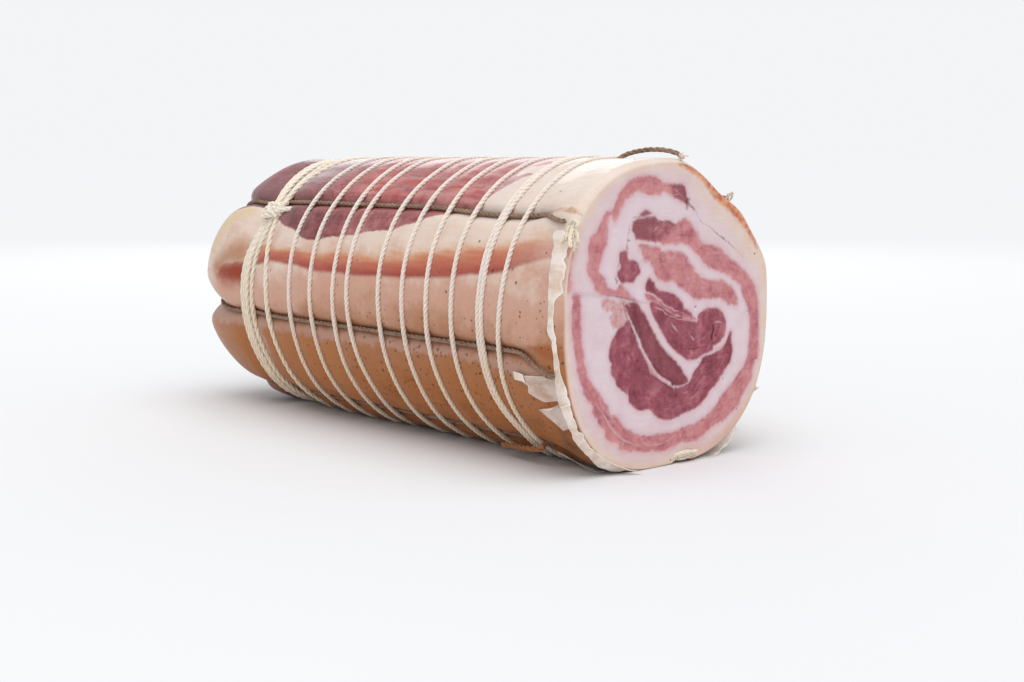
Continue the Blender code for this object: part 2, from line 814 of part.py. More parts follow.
def film(name, rows, thickness, material):
    """A thin wavy sheet from rows of outer points, with both faces split alike."""
    across = len(rows[0])
    total = len(rows) * across
    points = []
    for depth in (0.0, thickness):
        for row in rows:
            for point in row:
                out = away_from_axis(point)
                points.append(tuple(point[k] - depth * out[k] for k in range(3)))
    faces = []
    for i in range(len(rows) - 1):
        for j in range(across - 1):
            a = i * across + j
            b, c, d = a + 1, a + across + 1, a + across
            faces += [(a, b, c), (a, c, d)]
            faces += [(total + c, total + b, total + a), (total + d, total + c, total + a)]
    edge = list(range(across))
    edge += [i * across + across - 1 for i in range(1, len(rows))]
    edge += [(len(rows) - 1) * across + j for j in range(across - 2, -1, -1)]
    edge += [i * across for i in range(len(rows) - 2, 0, -1)]
    for a, b in zip(edge, edge[1:] + edge[:1]):
        faces += [(b, a, total + a), (b, total + a, total + b)]
    return new_object(name, points, faces, material)


def film_rows(xs, angles, lift):
    """Rows of film points: lift(u, v) is the height above the roll in millimetres."""
    rows = []
    for i, x_pair in enumerate(xs):
        u = i / (len(xs) - 1)
        row = []
        for j in range(len(angles)):
            v = j / (len(angles) - 1)
            x = x_pair[0] + (x_pair[1] - x_pair[0]) * v
            low, high = angles[j] if isinstance(angles[j], tuple) else (angles[j], angles[j])
            angle = low + (high - low) * u
            row.append(place(x, angle, roll_radius(angle, x) + lift(u, v), FILM_FLOOR))
        rows.append(row)
    return rows


def make_casing(material):
    """The torn edges of the thin casing near the cut."""
    def rim_lift(u, v):
        return 1.0 + 0.5 * u + 0.22 * math.sin(v * 31.0) * u

    def tail_lift(u, v):
        return 1.8 + 0.4 * u + 0.3 * math.sin(v * 17.0) * u

    def upper_lift(u, v):
        return 1.0 + 3.4 * u * u + 0.5 * math.sin(v * 6.0) * u

    def lower_lift(u, v):
        return 1.0 + 2.4 * u * u + 0.4 * math.sin(v * 7.0) * u

    def under_lift(u, v):
        return 1.0 + 4.5 * v * v + 0.4 * math.sin(u * 6.0)

    def right_lift(u, v):
        return 1.0 + 1.2 * u + 0.3 * math.sin(v * 9.0)

    outer, middle, inner = RIM_EDGE
    pieces = {
        "casing_rim": (
            [(outer, outer), (middle, middle), (inner, inner)],
            [147.0 + 4.3 * i for i in range(15)],
            rim_lift,
        ),
        "casing_tail": (
            [(outer, outer), (middle, middle + 1.2), (inner, inner + 2.2)],
            [211.5 + 4.0 * i for i in range(9)],
            tail_lift,
        ),
        "casing_flap_upper": (
            [(-4.5, -4.5), (-12.0, -11.0), (-20.0, -18.0), (-29.0, -25.0)],
            [(200.5, 199.0), (203.0, 200.2), (205.0, 201.5), (207.0, 203.0)],
            upper_lift,
        ),
        "casing_flap_lower": (
            [(-4.5, -4.5), (-9.0, -9.0), (-14.0, -14.0), (-20.0, -19.0)],
            [(212.5, 214.0), (215.0, 215.0), (217.5, 216.0), (220.5, 217.0)],
            lower_lift,
        ),
        "casing_flap_under": (
            [(-29.0, -28.0), (-24.0, -23.0), (-18.0, -18.5), (-12.0, -13.5)],
            [234.5, 237.5, 240.5, 243.5],
            under_lift,
        ),
        "casing_right": (
            [(-20.0, -18.0), (-10.0, -9.0), (-1.0, -2.0)],
            [-25.0 + 4.5 * i for i in range(7)],
            right_lift,
        ),
    }
    for name, (xs, angles, lift) in pieces.items():
        film(name, film_rows(xs, angles, lift), FILM_THICKNESS, material)


def stand_on_origin():
    """Move every object so that the middle of the base of the whole is the origin."""
    corners = [vert.co for obj in bpy.data.objects for vert in obj.data.vertices]
    x_middle = (min(co.x for co in corners) + max(co.x for co in corners)) / 2.0
    y_middle = (min(co.y for co in corners) + max(co.y for co in corners)) / 2.0
    for obj in bpy.data.objects:
        for vert in obj.data.vertices:
            vert.co.x -= x_middle
            vert.co.y -= y_middle


def main():
    for obj in list(bpy.data.objects):
        bpy.data.objects.remove(obj, do_unlink=True)
    fat = finish_material("cured_fat", (0.86, 0.70, 0.62), 0.4)
    lean = finish_material("cured_lean", (0.55, 0.16, 0.18), 0.45)
    cotton = finish_material("cotton_string", (0.86, 0.80, 0.68), 0.9)
    brown = finish_material("brown_twine", (0.30, 0.21, 0.15), 0.85)
    skin = finish_material("dry_casing", (0.86, 0.76, 0.55), 0.3, alpha=0.6)
    roll = make_roll(fat)
    make_side_strip(roll, lean)
    make_lean_layers(roll, lean)
    rings = [ring for group in RING_GROUPS for ring in group]
    for ring in rings:
        if ring.name not in KNOTTED:
            make_string(ring, cotton)
    make_binding([ring for ring in rings if ring.name in KNOTTED], cotton)
    for number, (first, second) in enumerate(TWINE_LOOPS):
        make_twine_loop(number, (TWINE_ANGLES[first], TWINE_ANGLES[second]), brown)
    make_tie(brown)
    make_casing(skin)
    stand_on_origin()


main()
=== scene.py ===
"""Rolled pancetta: the finished look of a tied roll of cured pork belly.

The file is laid out as an add-on and is run as a script. Each operator makes
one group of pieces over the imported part. Lengths below are in millimetres,
measured from the cut face (x runs to minus along the roll) and from the
middle of its section (across, up), unless a property gives them in metres.
Angles run round the cut face, with 0 to its right and 90 upwards.
"""

import math

import bmesh
import bpy
import numpy as np
from bpy.props import FloatProperty, FloatVectorProperty, IntProperty, PointerProperty
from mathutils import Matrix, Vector, noise


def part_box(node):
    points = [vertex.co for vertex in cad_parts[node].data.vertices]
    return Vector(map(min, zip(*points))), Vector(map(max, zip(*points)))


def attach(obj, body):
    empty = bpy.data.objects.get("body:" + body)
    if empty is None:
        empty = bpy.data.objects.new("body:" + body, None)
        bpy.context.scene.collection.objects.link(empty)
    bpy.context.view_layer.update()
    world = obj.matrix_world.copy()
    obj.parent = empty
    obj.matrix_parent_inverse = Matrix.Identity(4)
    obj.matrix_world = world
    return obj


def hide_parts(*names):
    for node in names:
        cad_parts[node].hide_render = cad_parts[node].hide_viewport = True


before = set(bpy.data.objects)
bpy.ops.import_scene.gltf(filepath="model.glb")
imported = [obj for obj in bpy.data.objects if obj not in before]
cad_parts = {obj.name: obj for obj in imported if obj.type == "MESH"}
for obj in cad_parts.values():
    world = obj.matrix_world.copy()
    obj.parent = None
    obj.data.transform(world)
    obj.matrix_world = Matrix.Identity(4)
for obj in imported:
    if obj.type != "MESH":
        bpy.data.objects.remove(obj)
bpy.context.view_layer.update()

bl_info = {
    "name": "Rolled Pancetta",
    "version": (1, 0, 0),
    "blender": (4, 5, 0),
    "location": "View3D > Sidebar > Pancetta",
    "description": "Dresses a tied, cut roll of cured pork belly",
    "category": "Object",
}

MM = 0.001
FACE_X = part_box("belly_roll")[1].x / MM
MIDDLE_Y = 0.434
CENTRE_Z = 69.6
FACE_Z = 70.0

# The roll's section and its edge at the cut
HALF_WIDTH = 68.75
HALF_HEIGHT = 70.0
CUT_POWER = 2.5
TIED_POWER = 2.08
TIED_FROM = -45.0
FLAT_ANGLE = 50.0
FLAT_DISTANCE = 62.9
FLAT_BLEND = 9.0
SAG_ANGLE = 243.0
SAG_SPREAD = 28.0
SAG_HEIGHT = 3.0
RIM_BULGE = 3.0
RIM_BULGE_ANGLE = 44.0
REST_ANGLE = 288.0
REST_SPREAD = 14.0
REST_HEIGHT = 0.8
EDGE_LENGTH = 4.5
EDGE_ROUND_LEFT = 3.8
EDGE_ROUND_RIGHT = 0.8

# The far end
DOME_START = -268.0
DOME_POWER = 2.6
DOME_MEAN = 42.0
LOBE_LENGTHS = (38.0, 34.0, 31.0, 62.0, 72.0, 33.0, 38.0, 40.0)
LOBE_BLEND_RADIUS = 30.0
DIMPLE_DEPTH = 8.0
DIMPLE_RADIUS = 26.0
DOME_CREASE = 9.0
DOME_SPREAD = 6.4
CREASE_SPREAD = 3.5
NECK_X = -252.0
NECK_LENGTH = 16.0
NECK_DEPTH = 2.4

# Lengthwise twines
TWINE_ANGLES = (8.0, 49.0, 91.0, 137.0, 192.5, 235.0, 277.0, 328.0)
TWINE_LOOPS = ((4, 0), (5, 1), (6, 2), (7, 3))
BOTTOM_TWINE = 277.0
TOP_TWINE = 91.0
SIDE_TWINE = 137.0
SIDE_DRIFT = 2.6
TWINE_STACK = 4.0
TWINE_LIFT = 1.15
CREASE_START = -34.0
CREASE_FADE = 24.0
TWINE_ENDS = {
    8.0: (-14.0, 1.0, 0.0),
    49.0: (-3.5, 2.0, 0.0),
    137.0: (-4.5, 5.4, 0.9),
    192.5: (-3.0, 5.5, 1.2),
    235.0: (-33.0, 0.5, 0.6),
    277.0: (-3.5, 0.0, 0.0),
    328.0: (-3.5, -2.0, 0.0),
}
TOP_TWINE_ARCH = (
    (-32.0, 3.0, 141.1), (-25.5, 3.2, 142.5), (-18.5, 3.6, 143.3),
    (-11.5, 4.3, 143.3), (-6.0, 5.2, 142.6), (-2.0, 6.4, 141.2),
)
TIE_PATH = (
    (-33.5, 232.0, 1.6), (-36.5, 233.0, 3.6), (-41.0, 233.0, 4.6), (-46.5, 233.5, 4.8),
    (-51.0, 234.5, 4.4), (-57.0, 235.0, 3.8), (-65.0, 235.5, 4.2),
)

# Cross strings: name, place along the roll, lean, sideways shift, pulls
PAIR = 2.3
STRAND = 2.25
STRINGS = (
    ("string_01", -37.8, 0.5, 0.0, ((210.0, 28.0, -4.0),)),
    ("string_02_front", -51.7, 0.5, 0.0, ((233.0, 17.0, 7.5),)),
    ("string_02_back", -51.7 - PAIR, 0.5, 0.0, ((233.0, 17.0, 7.5),)),
    ("string_03", -73.3, 0.0, 0.5, ((235.0, 20.0, 4.0),)),
    ("string_04", -92.1, -0.8, 0.5, ((235.0, 20.0, 2.5),)),
    ("string_05", -110.0, -0.8, -0.5, ()),
    ("string_06", -129.2, -0.8, 0.0, ()),
    ("string_07", -156.0, 0.0, 0.5, ((220.0, 28.0, 4.5),)),
    ("string_08", -167.9, -0.5, -0.5, ()),
    ("string_09", -188.4, 0.8, 0.5, ()),
    ("string_10", -208.2, 1.0, 0.5, ()),
    ("string_11", -230.0, 0.0, 0.0, ((140.0, 25.0, -5.0),)),
    ("string_12", -248.5, 1.5, 0.0, ((134.0, 30.0, 11.0),)),
    ("string_13_front", -253.0, 2.5, 0.0, ((143.0, 20.0, 9.5),)),
    ("string_13_middle", -253.0 - STRAND, 2.5, 0.0, ((143.0, 20.0, 9.5),)),
    ("string_13_back", -253.0 - 2.0 * STRAND, 2.5, 0.0, ((143.0, 20.0, 9.5),)),
)
KNOTTED = ("string_11", "string_12", "string_13_front", "string_13_middle", "string_13_back")
KNOT_ANGLE = 144.0
KNOT_X = -240.5

# Outlines of lean on the cut face, with how dark each is and how dusky
FACE_LEAN = {
    "outer_streak": (0.33, 0.0, (
        (-25.5, 39.5), (-25, 41.5), (-22.5, 43), (-20, 43.3), (-17, 43.2), (-14, 43.5), (-11, 43.6),
        (-9, 42), (-6, 41.5), (-3, 41.6), (0, 41), (2, 39.5), (4, 40.5), (6, 41.5), (9, 42.5), (11.5, 41),
        (13.5, 39), (15.5, 37), (17.5, 35.3), (18.5, 33), (20.5, 31.3), (24, 30), (28, 29.3), (32, 28),
        (35, 26.5), (38, 24.3), (42, 22), (45, 20.5), (48, 18.5), (51, 16.5), (54, 14), (57, 11), (59, 8.5),
        (60.3, 5), (61.2, 2), (62, -3), (62.5, -8), (62.5, -14), (62.8, -20), (62, -25), (60, -27.5),
        (58.5, -30), (58, -34), (56, -37.5), (53.5, -40), (51, -43), (49, -46.5), (46, -49), (42, -51),
        (40, -53), (36, -54), (31, -55.5), (27, -57), (22, -59.8), (17, -61), (11, -61), (8, -60),
        (5, -61.5), (1, -62.3), (-3, -63), (-8, -62.7), (-12, -62), (-16, -61.8), (-20, -61), (-24, -60.5),
        (-27, -60), (-31, -59.3), (-33, -58), (-32.5, -56.5), (-35, -55.5), (-38, -54.5), (-40, -53),
        (-41.5, -51), (-40.5, -49.5), (-42.5, -48), (-45, -46), (-46, -43.5), (-48, -42), (-49.5, -40),
        (-49, -37), (-51.5, -35), (-53.5, -32.5), (-55, -30.5), (-55.5, -28), (-57, -25), (-58, -22),
        (-58.5, -19), (-59.5, -14), (-60.2, -10), (-61.5, -5), (-61.7, 0), (-61.5, 5), (-61.2, 9),
        (-61, 11.5), (-57.5, 11.8), (-56.8, 8), (-56, 3), (-56, -2), (-56, -8), (-54.5, -12), (-54, -17),
        (-53, -20), (-52, -24), (-50, -27), (-47.5, -30), (-45, -32.5), (-43, -35), (-40, -38),
        (-38.5, -41), (-37, -43), (-33.5, -44), (-31, -47), (-28, -50), (-25, -51), (-20, -53.5),
        (-15, -54.5), (-8, -54.8), (-3, -55), (3, -55), (7, -54.5), (10, -53.5), (15, -53.5), (19, -52.5),
        (22, -51.5), (25, -50.5), (28, -48.5), (31, -46.5), (34, -44), (36.5, -41.5), (40, -39),
        (43, -36.5), (46, -34), (49, -31.5), (51.5, -29), (54, -25), (55, -20), (55.5, -15), (55.7, -9),
        (55, -4), (53, 0.5), (50.5, 4), (49, 8), (47.5, 10.5), (45, 12), (42, 13.5), (39, 15), (35, 16.5),
        (30, 18), (26, 19.5), (23.5, 21), (21, 22.5), (18.5, 25), (15, 27), (12.5, 29), (10, 30.5), (6, 31),
        (1, 31), (-3, 31), (-6, 31.5), (-10, 32.5), (-15, 33), (-20, 33.5), (-23, 34), (-24, 36), (-26, 38),
    )),
    "top_band": (0.3, 0.0, (
        (9.5, 53), (8, 57.5), (3, 57.5), (-2, 58.3), (-5, 58.5), (-7, 59), (-9, 60.5), (-12, 61.5),
        (-16, 61.8), (-20, 61.6), (-23, 60.7), (-26, 60), (-28, 59), (-30, 57), (-32, 56), (-34, 53.5),
        (-35.5, 51), (-36.5, 48.5), (-38, 47.3), (-40, 46.5), (-42, 45.7), (-44, 43.5), (-45.5, 41),
        (-46.2, 39.5), (-47.5, 37.8), (-49.5, 36.5), (-51.5, 34.5), (-52.3, 32), (-52.3, 29), (-52, 27),
        (-52.8, 25), (-52.8, 21), (-51.5, 18.5), (-49.5, 15.8), (-49, 13.5), (-46.5, 11.7), (-43, 10.8),
        (-38, 10.3), (-33, 9.5), (-28, 8), (-24, 7.4), (-25, 8.6), (-27.5, 10.8), (-30, 13), (-33, 14.6),
        (-35, 13), (-37, 12.4), (-40, 13.6), (-42, 16), (-42.5, 18), (-44.5, 19), (-46.5, 21), (-45.5, 23),
        (-44.5, 25.5), (-43.5, 28.5), (-42, 31), (-41, 34), (-40.5, 37), (-40.5, 39), (-41, 41), (-40, 44),
        (-38, 45), (-37, 43), (-36.5, 41.8), (-35.5, 42.5), (-34.5, 44.5), (-33, 46.5), (-31.5, 49),
        (-30, 51.2), (-28, 52.5), (-25, 53.8), (-23, 54.8), (-21, 55.5), (-18, 54), (-14, 53.3), (-10, 53),
        (-7, 53.5), (-5, 54.8), (-2, 53.5), (1, 52), (4, 50.8), (6.5, 49.8), (9.5, 48.8), (11, 50.5),
    )),
    "middle_slab": (0.28, 0.06, (
        (-21, 31.2), (-17, 31.5), (-12, 30.5), (-8, 30), (-7, 28.5), (-5, 27.5), (-2, 28), (2, 27.5),
        (6, 27), (9, 26), (11, 24), (12, 22), (14.5, 20.5), (16, 18.5), (18, 16.5), (21, 15), (24, 14),
        (27, 13.3), (32, 13), (35, 13), (38, 11.5), (42, 9.5), (44, 7.5), (45.5, 5), (46.5, 2.5), (46, 0.8),
        (43, 1), (40, 1.5), (37, 2.8), (34.5, 4.5), (32, 4.8), (26, 4.8), (22, 5), (17, 5.2), (14, 6.5),
        (11, 8.5), (7, 10.5), (4, 12.3), (1.5, 14.5), (-2, 14), (-5, 14.5), (-8, 15.5), (-9.5, 16.8),
        (-11, 18.5), (-11.5, 20.5), (-13, 22.5), (-14.5, 23.8), (-17, 24.5), (-18.5, 26), (-19.5, 28),
    )),
    "small_lump": (0.66, 0.1, (
        (-33.5, 26), (-33.3, 28.5), (-31, 29.3), (-30, 29.5), (-28.5, 28.5), (-28.7, 26.5), (-27, 24.8),
        (-25, 25), (-22.5, 24), (-21, 22), (-20.3, 20), (-21, 18.5), (-22.5, 17.5), (-24, 16), (-26, 15),
        (-29, 15.3), (-31, 15), (-33, 16), (-34.5, 18), (-34.5, 20), (-32.5, 22.5), (-33.3, 24.5),
    )),
    "thin_wedge": (0.74, 0.0, (
        (-16.8, 13.5), (-15.5, 16), (-14, 16.5), (-12.5, 15.5), (-11, 14.5), (-10, 12.5), (-8.5, 11),
        (-5, 10), (-2, 9.5), (2, 8.5), (5, 6.5), (8, 4), (9, 1.5), (12, 0.3), (14, -1), (15, -3),
        (12, -2.6), (9, -1.2), (6, -0.2), (3, 0.3), (0, 2), (-3, 3.2), (-6, 5.2), (-9, 7.5), (-12, 9.5),
        (-16, 10.5),
    )),
    "pink_ridge": (0.26, 0.0, (
        (-17, 9.5), (-13, 9), (-9, 7.2), (-6, 5.4), (-3, 3.6), (0, 2.3), (3, 1), (7, 0.1), (12, -1.4),
        (17, -3.8), (17.5, -5.2), (12, -3.6), (7, -2.2), (3, -1.4), (0, 0), (-3, 1.8), (-6, 3.4), (-9, 5),
        (-12, 5.9), (-15.5, 6.6),
    )),
    "heart": (0.66, 0.0, (
        (-14, 5.5), (-12, 6.2), (-9, 5.4), (-6, 3.6), (-3, 2), (0, 0.4), (3, -1), (7, -2), (12, -3.2),
        (17.5, -5), (18.5, -2.5), (21, -1), (24, 0), (27, 0.5), (31, 0.2), (34, -1), (36.5, -3.5),
        (38, -6.5), (38.2, -10), (37, -13), (35, -15.5), (32, -17), (29.3, -17.6), (28.5, -19.8),
        (24, -20.8), (22, -21), (19, -22.3), (15, -22.8), (11, -22.3), (9, -21), (5, -18.8), (0, -14.9),
        (-4, -10.4), (-7, -6.4), (-10, -2.4), (-13, 2.2),
    )),
    "sliver": (0.6, 0.1, (
        (-21, 44.6), (-18, 46.4), (-15, 46.2), (-13, 44.9), (-16, 44.2), (-19, 44),
    )),
    "slanted_wedge": (0.86, 0.2, (
        (-29.5, 5.5), (-26, 6.5), (-22, 6), (-20.5, 4.5), (-19, 2.5), (-17, 1), (-15, -2), (-13, -5),
        (-10, -9), (-7, -13), (-3, -17), (2, -21), (6, -24.5), (9, -27.5), (11, -30), (12.5, -32),
        (11, -33.5), (7, -33.8), (3, -33.5), (0, -31.5), (-5, -29), (-9, -26), (-12, -22.5), (-15, -18.5),
        (-18, -14.5), (-20, -10.5), (-23, -6), (-26, -1), (-28.5, 3),
    )),
    "core": (0.68, 0.0, (
        (-28, -1.5), (-30, -3.5), (-34, -5), (-36, -8), (-37.5, -10), (-39, -14), (-39, -18), (-37.5, -20),
        (-37.8, -23), (-37, -25.5), (-35, -27.5), (-34, -30), (-31.5, -32), (-29, -33.5), (-27, -35),
        (-26, -38), (-24, -40), (-21.5, -41.8), (-18, -42.8), (-14.5, -42.5), (-12, -43.5), (-10, -45.5),
        (-7, -47.5), (-3, -48.7), (1, -49), (5, -48.5), (9, -47.3), (13, -46.5), (17, -45.8), (21, -44),
        (25, -41.5), (28, -38.5), (31, -36.5), (34, -34), (37, -31), (40, -28), (42.5, -25), (43.5, -21),
        (43, -18), (42, -15.5), (42.2, -12.5), (41, -11.5), (40, -13), (38.5, -16), (36, -18.8),
        (32, -20.5), (27, -21.5), (22, -22.2), (21.3, -24), (19, -26.5), (16.5, -28), (15, -30.5),
        (13, -33), (8, -34.5), (3, -34.3), (-2, -32.2), (-7, -29.2), (-12, -25), (-15.5, -20.5),
        (-19.5, -15), (-22, -10.5), (-25, -5.5),
    )),
    "rim_strip": (0.1, 0.0, (
        (-68, 31), (-64, 33.5), (-61, 33.2), (-60.6, 29), (-61.8, 25), (-62.3, 20), (-62, 16),
        (-62.5, 13.6), (-66, 14), (-69, 20),
    )),
}

# Zones on the cut face that change the lean's or the fat's colour
DUSKY_PATCH = (
    (-26, 39), (-25, 42), (-20, 43.5), (-13, 43.8), (-8, 42), (1, 41.2), (2, 39), (-3, 37), (-6, 34),
    (-12, 33), (-20, 33.4), (-24, 34.5),
)
DUSKY_MIDDLE = ((-11, 37.5), (-8, 40), (-3, 39.5), (1, 37), (2, 33), (-3, 31.8), (-9, 33), (-12, 35))
DARK_TIP = ((10.5, 49), (11, 51.5), (9, 57), (4, 57.8), (0, 57), (2, 53), (6, 50.5))
PALE_PATCH = (
    (-43, 9.4), (-36, 8.9), (-30, 7.6), (-29.8, 5), (-29.2, 1), (-30, -3), (-33, -4.6), (-37, -5),
    (-38.5, -3), (-38, 0), (-37, 3), (-40, 5), (-42.5, 6.5),
)
ORANGE_RIM = (
    (4, 68.2, 0.6), (8, 67.4, 1.5), (13, 65.4, 1.3), (18, 63.4, 1.7), (22, 61.4, 2), (26, 58, 2.3),
    (30, 54.6, 2.8), (34, 52, 2.6), (38, 49.6, 2.4), (42, 47, 2.5), (46, 44.2, 2.4), (50, 40.6, 1.9),
    (54, 36.6, 1.6), (58, 31.6, 1.2), (61, 27, 0.6),
)
# Share of their distance from the face's middle at which the orange rim's points lie
ORANGE_REACH = 0.984

# Pale membranes, dark cracks and seams, and a raised ridge, as (across, up, half width)
RIDGE = ((-45, -25.5, 0), (-36, -26, 0), (-28, -28.3, 0), (-10, -29.5, 0))
MEMBRANES = (
    ((-20, -13.5, 0.1), (-17, -18, 0.5), (-14, -22, 0.8), (-12, -25.3, 1.5), (-9, -27.5, 0.8),
     (-5, -30, 0.7), (-1, -32, 0.8), (3, -34.5, 0.7), (4, -37.5, 0.1)),
    ((-50, -35, 0.1), (-47, -37, 0.4), (-44, -40, 0.4), (-41, -43.5, 0.5), (-38.5, -47, 0.5),
     (-36, -50, 0.6), (-33, -52.5, 0.5), (-30, -54.5, 0.5), (-27, -56, 0.4), (-23, -57.5, 0.3),
     (-17, -59.5, 0.2)),
    ((-46, -34, 0.1), (-42, -39, 0.3), (-37, -44.5, 0.3), (-32, -49.5, 0.1)),
    ((-19, -54.5, 0.4), (-17, -58, 0.3), (-13, -59.5, 0.3), (-6, -59.6, 0.3), (0, -58.5, 0.4),
     (4, -56.5, 0.2)),
    ((6.5, -54.5, 0.6), (8, -57.5, 0.4), (7.5, -60.5, 0.6)),
    ((-17, 10.2, 0.2), (-12, 9, 0.5), (-8, 6, 0.4), (-6.5, 6.4, 0.3), (-5, 4, 0.5), (-1, 2.4, 0.3),
     (0.5, 2.6, 0.3), (2, 0.9, 0.4), (6, 0.4, 0.1)),
    ((-11, 3.4, 0.1), (-8, 2.4, 0.4), (-5, 1.5, 0.3), (-4, 0.2, 0.4), (-1, -1.2, 0.2), (3, -2.2, 0.3),
     (5, -3.4, 0.2), (8, -3.4, 0.3), (14, -4.6, 0.4), (18, -5, 0.6)),
    ((0.5, -4.5, 0.1), (1.8, -6.2, 0.5), (3, -7, 0.6), (4.8, -9, 0.2)),
    ((-34, 9.6, 0.2), (-29, 7, 0.5), (-26, 4.5, 0.2)),
    ((-24, 22, 0.1), (-19.5, 25.5, 0.4), (-17, 27, 0.3)),
    ((-6, 55, 0.1), (-1, 52.6, 0.3), (4, 53.5, 0.2)),
    ((-2, 56.5, 0.1), (3, 54.8, 0.3), (8, 51, 0.2)),
    ((12, -9.8, 0.1), (14, -11.8, 0.3), (15.5, -13.2, 0.6), (16.3, -14, 0.1)),
    ((-51.5, 27, 0.1), (-49.5, 25.5, 0.3), (-47, 22, 0.3), (-46, 20.5, 0.1)),
    ((-49.5, 36, 0.1), (-46.5, 31.5, 0.2), (-46, 28, 0.1)),
    ((-27, -35.3, 0.1), (-27.5, -32.5, 0.3), (-26, -30.3, 0.1)),
    ((-60.5, -21.7, 0.2), (-56, -22.2, 0.5), (-53, -21.8, 0.3)),
    ((-58, -24, 0.2), (-56.5, -31, 0.3), (-53, -30, 0.2)),
    ((19, 56.5, 0), (20, 56, 0)),
    ((30, -18.8, 0.8), (34, -18.3, 0.9), (37, -16.6, 0.9), (39, -13.8, 0.8), (39.6, -11, 0.5)),
    ((-20, 57.8, 0.3), (-19, 56, 0.5), (-16, 58, 0.3)),
    ((-13, 36.5, 0.1), (-10.5, 38.2, 0.6), (-8.6, 39.4, 0.1)),
    ((30, -6.5, 0.3), (33, -6.2, 0.5), (35, -7, 0.2)),
)
CRACKS = (
    ((19, -24.4, 0.05), (26, -25, 0.18), (34, -24.2, 0.12), (40, -25, 0.02)),
    ((17, -30.2, 0.05), (25, -30.6, 0.2), (31, -29.6, 0.1), (36, -30, 0.02)),
    ((12, -37, 0.03), (20, -37.4, 0.16), (28, -36.8, 0.03)),
    ((8, -17.2, 0.03), (16, -17.7, 0.2), (24, -17.3, 0.14), (28, -17.8, 0.03)),
    ((24, -21.6, 0.05), (31, -22.3, 0.22), (38, -21.4, 0.1), (42, -21.8, 0.02)),
    ((-30.5, 6.5, 0.1), (-29.3, 3, 0.25), (-28.2, 0, 0.25), (-26, -3.2, 0.45), (-24.4, -6.5, 0.5),
     (-22, -10.3, 0.3), (-20, -13.8, 0.1)),
    ((1.4, -32.6, 0.5), (1.9, -33, 0.6)),
    ((3.6, -35, 0.5), (3.4, -36, 0.4)),
    ((29.4, -8, 0.5), (29.8, -9.8, 0.6), (28.6, -12.7, 0.9), (28.8, -15.4, 0.3)),
    ((16, 1.4, 0.2), (17.2, 1.8, 0.3)),
)
SEAMS = (
    ((6, 68.6, 0.4), (8.4, 67.4, 1.1), (10, 65.8, 0.6)),
    ((-27.5, 42, 0.15), (-27.6, 38, 0.3), (-28.6, 34, 0.2), (-29.2, 30.5, 0.35), (-31, 28, 0.05)),
    ((-33, 25.5, 0.1), (-34.4, 22.5, 0.22), (-35, 19, 0.1), (-36.2, 17, 0.3)),
    ((-26, 43.6, 0.1), (-20, 44, 0.25), (-12, 43.4, 0.2), (-8.5, 41.9, 0.2)),
    ((9.6, 50, 0.9), (10.4, 48.8, 1.1), (9.6, 45.7, 0.5)),
    ((10.5, 51.3, 0.4), (11.5, 51, 0.5)),
    ((11, 49, 0.6), (13, 47.6, 0.5), (15, 46.5, 0.7)),
    ((15, 46.5, 0.1), (20, 40.2, 0.1), (26, 38, 0.15), (29.8, 35.3, 0.3), (32, 34, 0.1), (35, 32.6, 0.55),
     (37.5, 31, 0.25), (39.4, 30.3, 0.4), (43, 27.5, 0.2), (47, 25.2, 0.2), (51, 22, 0.05)),
    ((-36.3, 17.6, 0.3), (-35, 16.2, 0.55), (-35.6, 15.4, 0.4)),
    ((-29.2, 31.4, 0.2), (-28.5, 30.2, 0.35), (-28.4, 29, 0.15)),
    ((-28.5, 35.4, 0.2), (-27.8, 33, 0.4), (-26.5, 34, 0.2)),
    ((-43, 10.7, 0.12), (-36, 9.9, 0.25), (-30, 8.6, 0.45), (-26, 7.6, 0.3), (-22, 7, 0.1)),
    ((-8.5, 41.9, 0.2), (-6, 41.3, 0.4), (-3, 41.4, 0.3), (0, 40.4, 0.4), (3, 39.4, 0.3)),
)
LEDGE = (
    (-72, 13.6), (-56, 12), (-50, 11.5), (-43, 10.8), (-38, 10), (-32, 8.8), (-28, 7.5), (-22, 6.8),
    (-14, 5),
)

# How far a mark lies from points that have none of it
FAR_OFF = 9.0

# Zones on the side, as (place along the roll, angle)
TOP_LEAN = (
    (-330, 141), (-264, 141), (-250, 141), (-238, 146), (-228, 149), (-222, 151), (-212, 152.5),
    (-205, 155), (-200, 156.3), (-195, 156.7), (-188, 156), (-180, 154.8), (-170, 153.8), (-160, 152.9),
    (-150, 151.4), (-140, 150.6), (-130, 149.8), (-122, 148), (-115, 146.4), (-108, 144), (-103, 143),
    (-97, 141.8), (-92, 140), (-84, 138.5), (-78, 138), (-74, 136), (-71, 132), (-67, 128.5), (-63, 124.5),
    (-60, 120), (-57, 117.6), (-60, 117), (-64, 119.5), (-67, 118), (-65, 114), (-60, 110), (-55, 107),
    (-51, 103), (-50, 97), (-52, 90), (-58, 80), (-70, 70), (-90, 62), (-120, 58), (-150, 60), (-190, 57),
    (-230, 60), (-262, 60), (-330, 60),
)
BAND_LOWER = (
    (-250, 168), (-244, 169), (-240, 169.5), (-230, 167), (-222, 167.3), (-210, 168), (-200, 168),
    (-190, 169.5), (-180, 169.8), (-170, 169.4), (-160, 169.5), (-150, 170), (-140, 169.6), (-130, 169.2),
    (-120, 169), (-110, 169), (-100, 168.2), (-90, 167.7), (-80, 167.3), (-70, 166.2), (-60, 165),
    (-50, 164.6), (-40, 163.2), (-35, 162), (-25, 160), (-15, 158.2), (-8, 157), (4, 155),
)
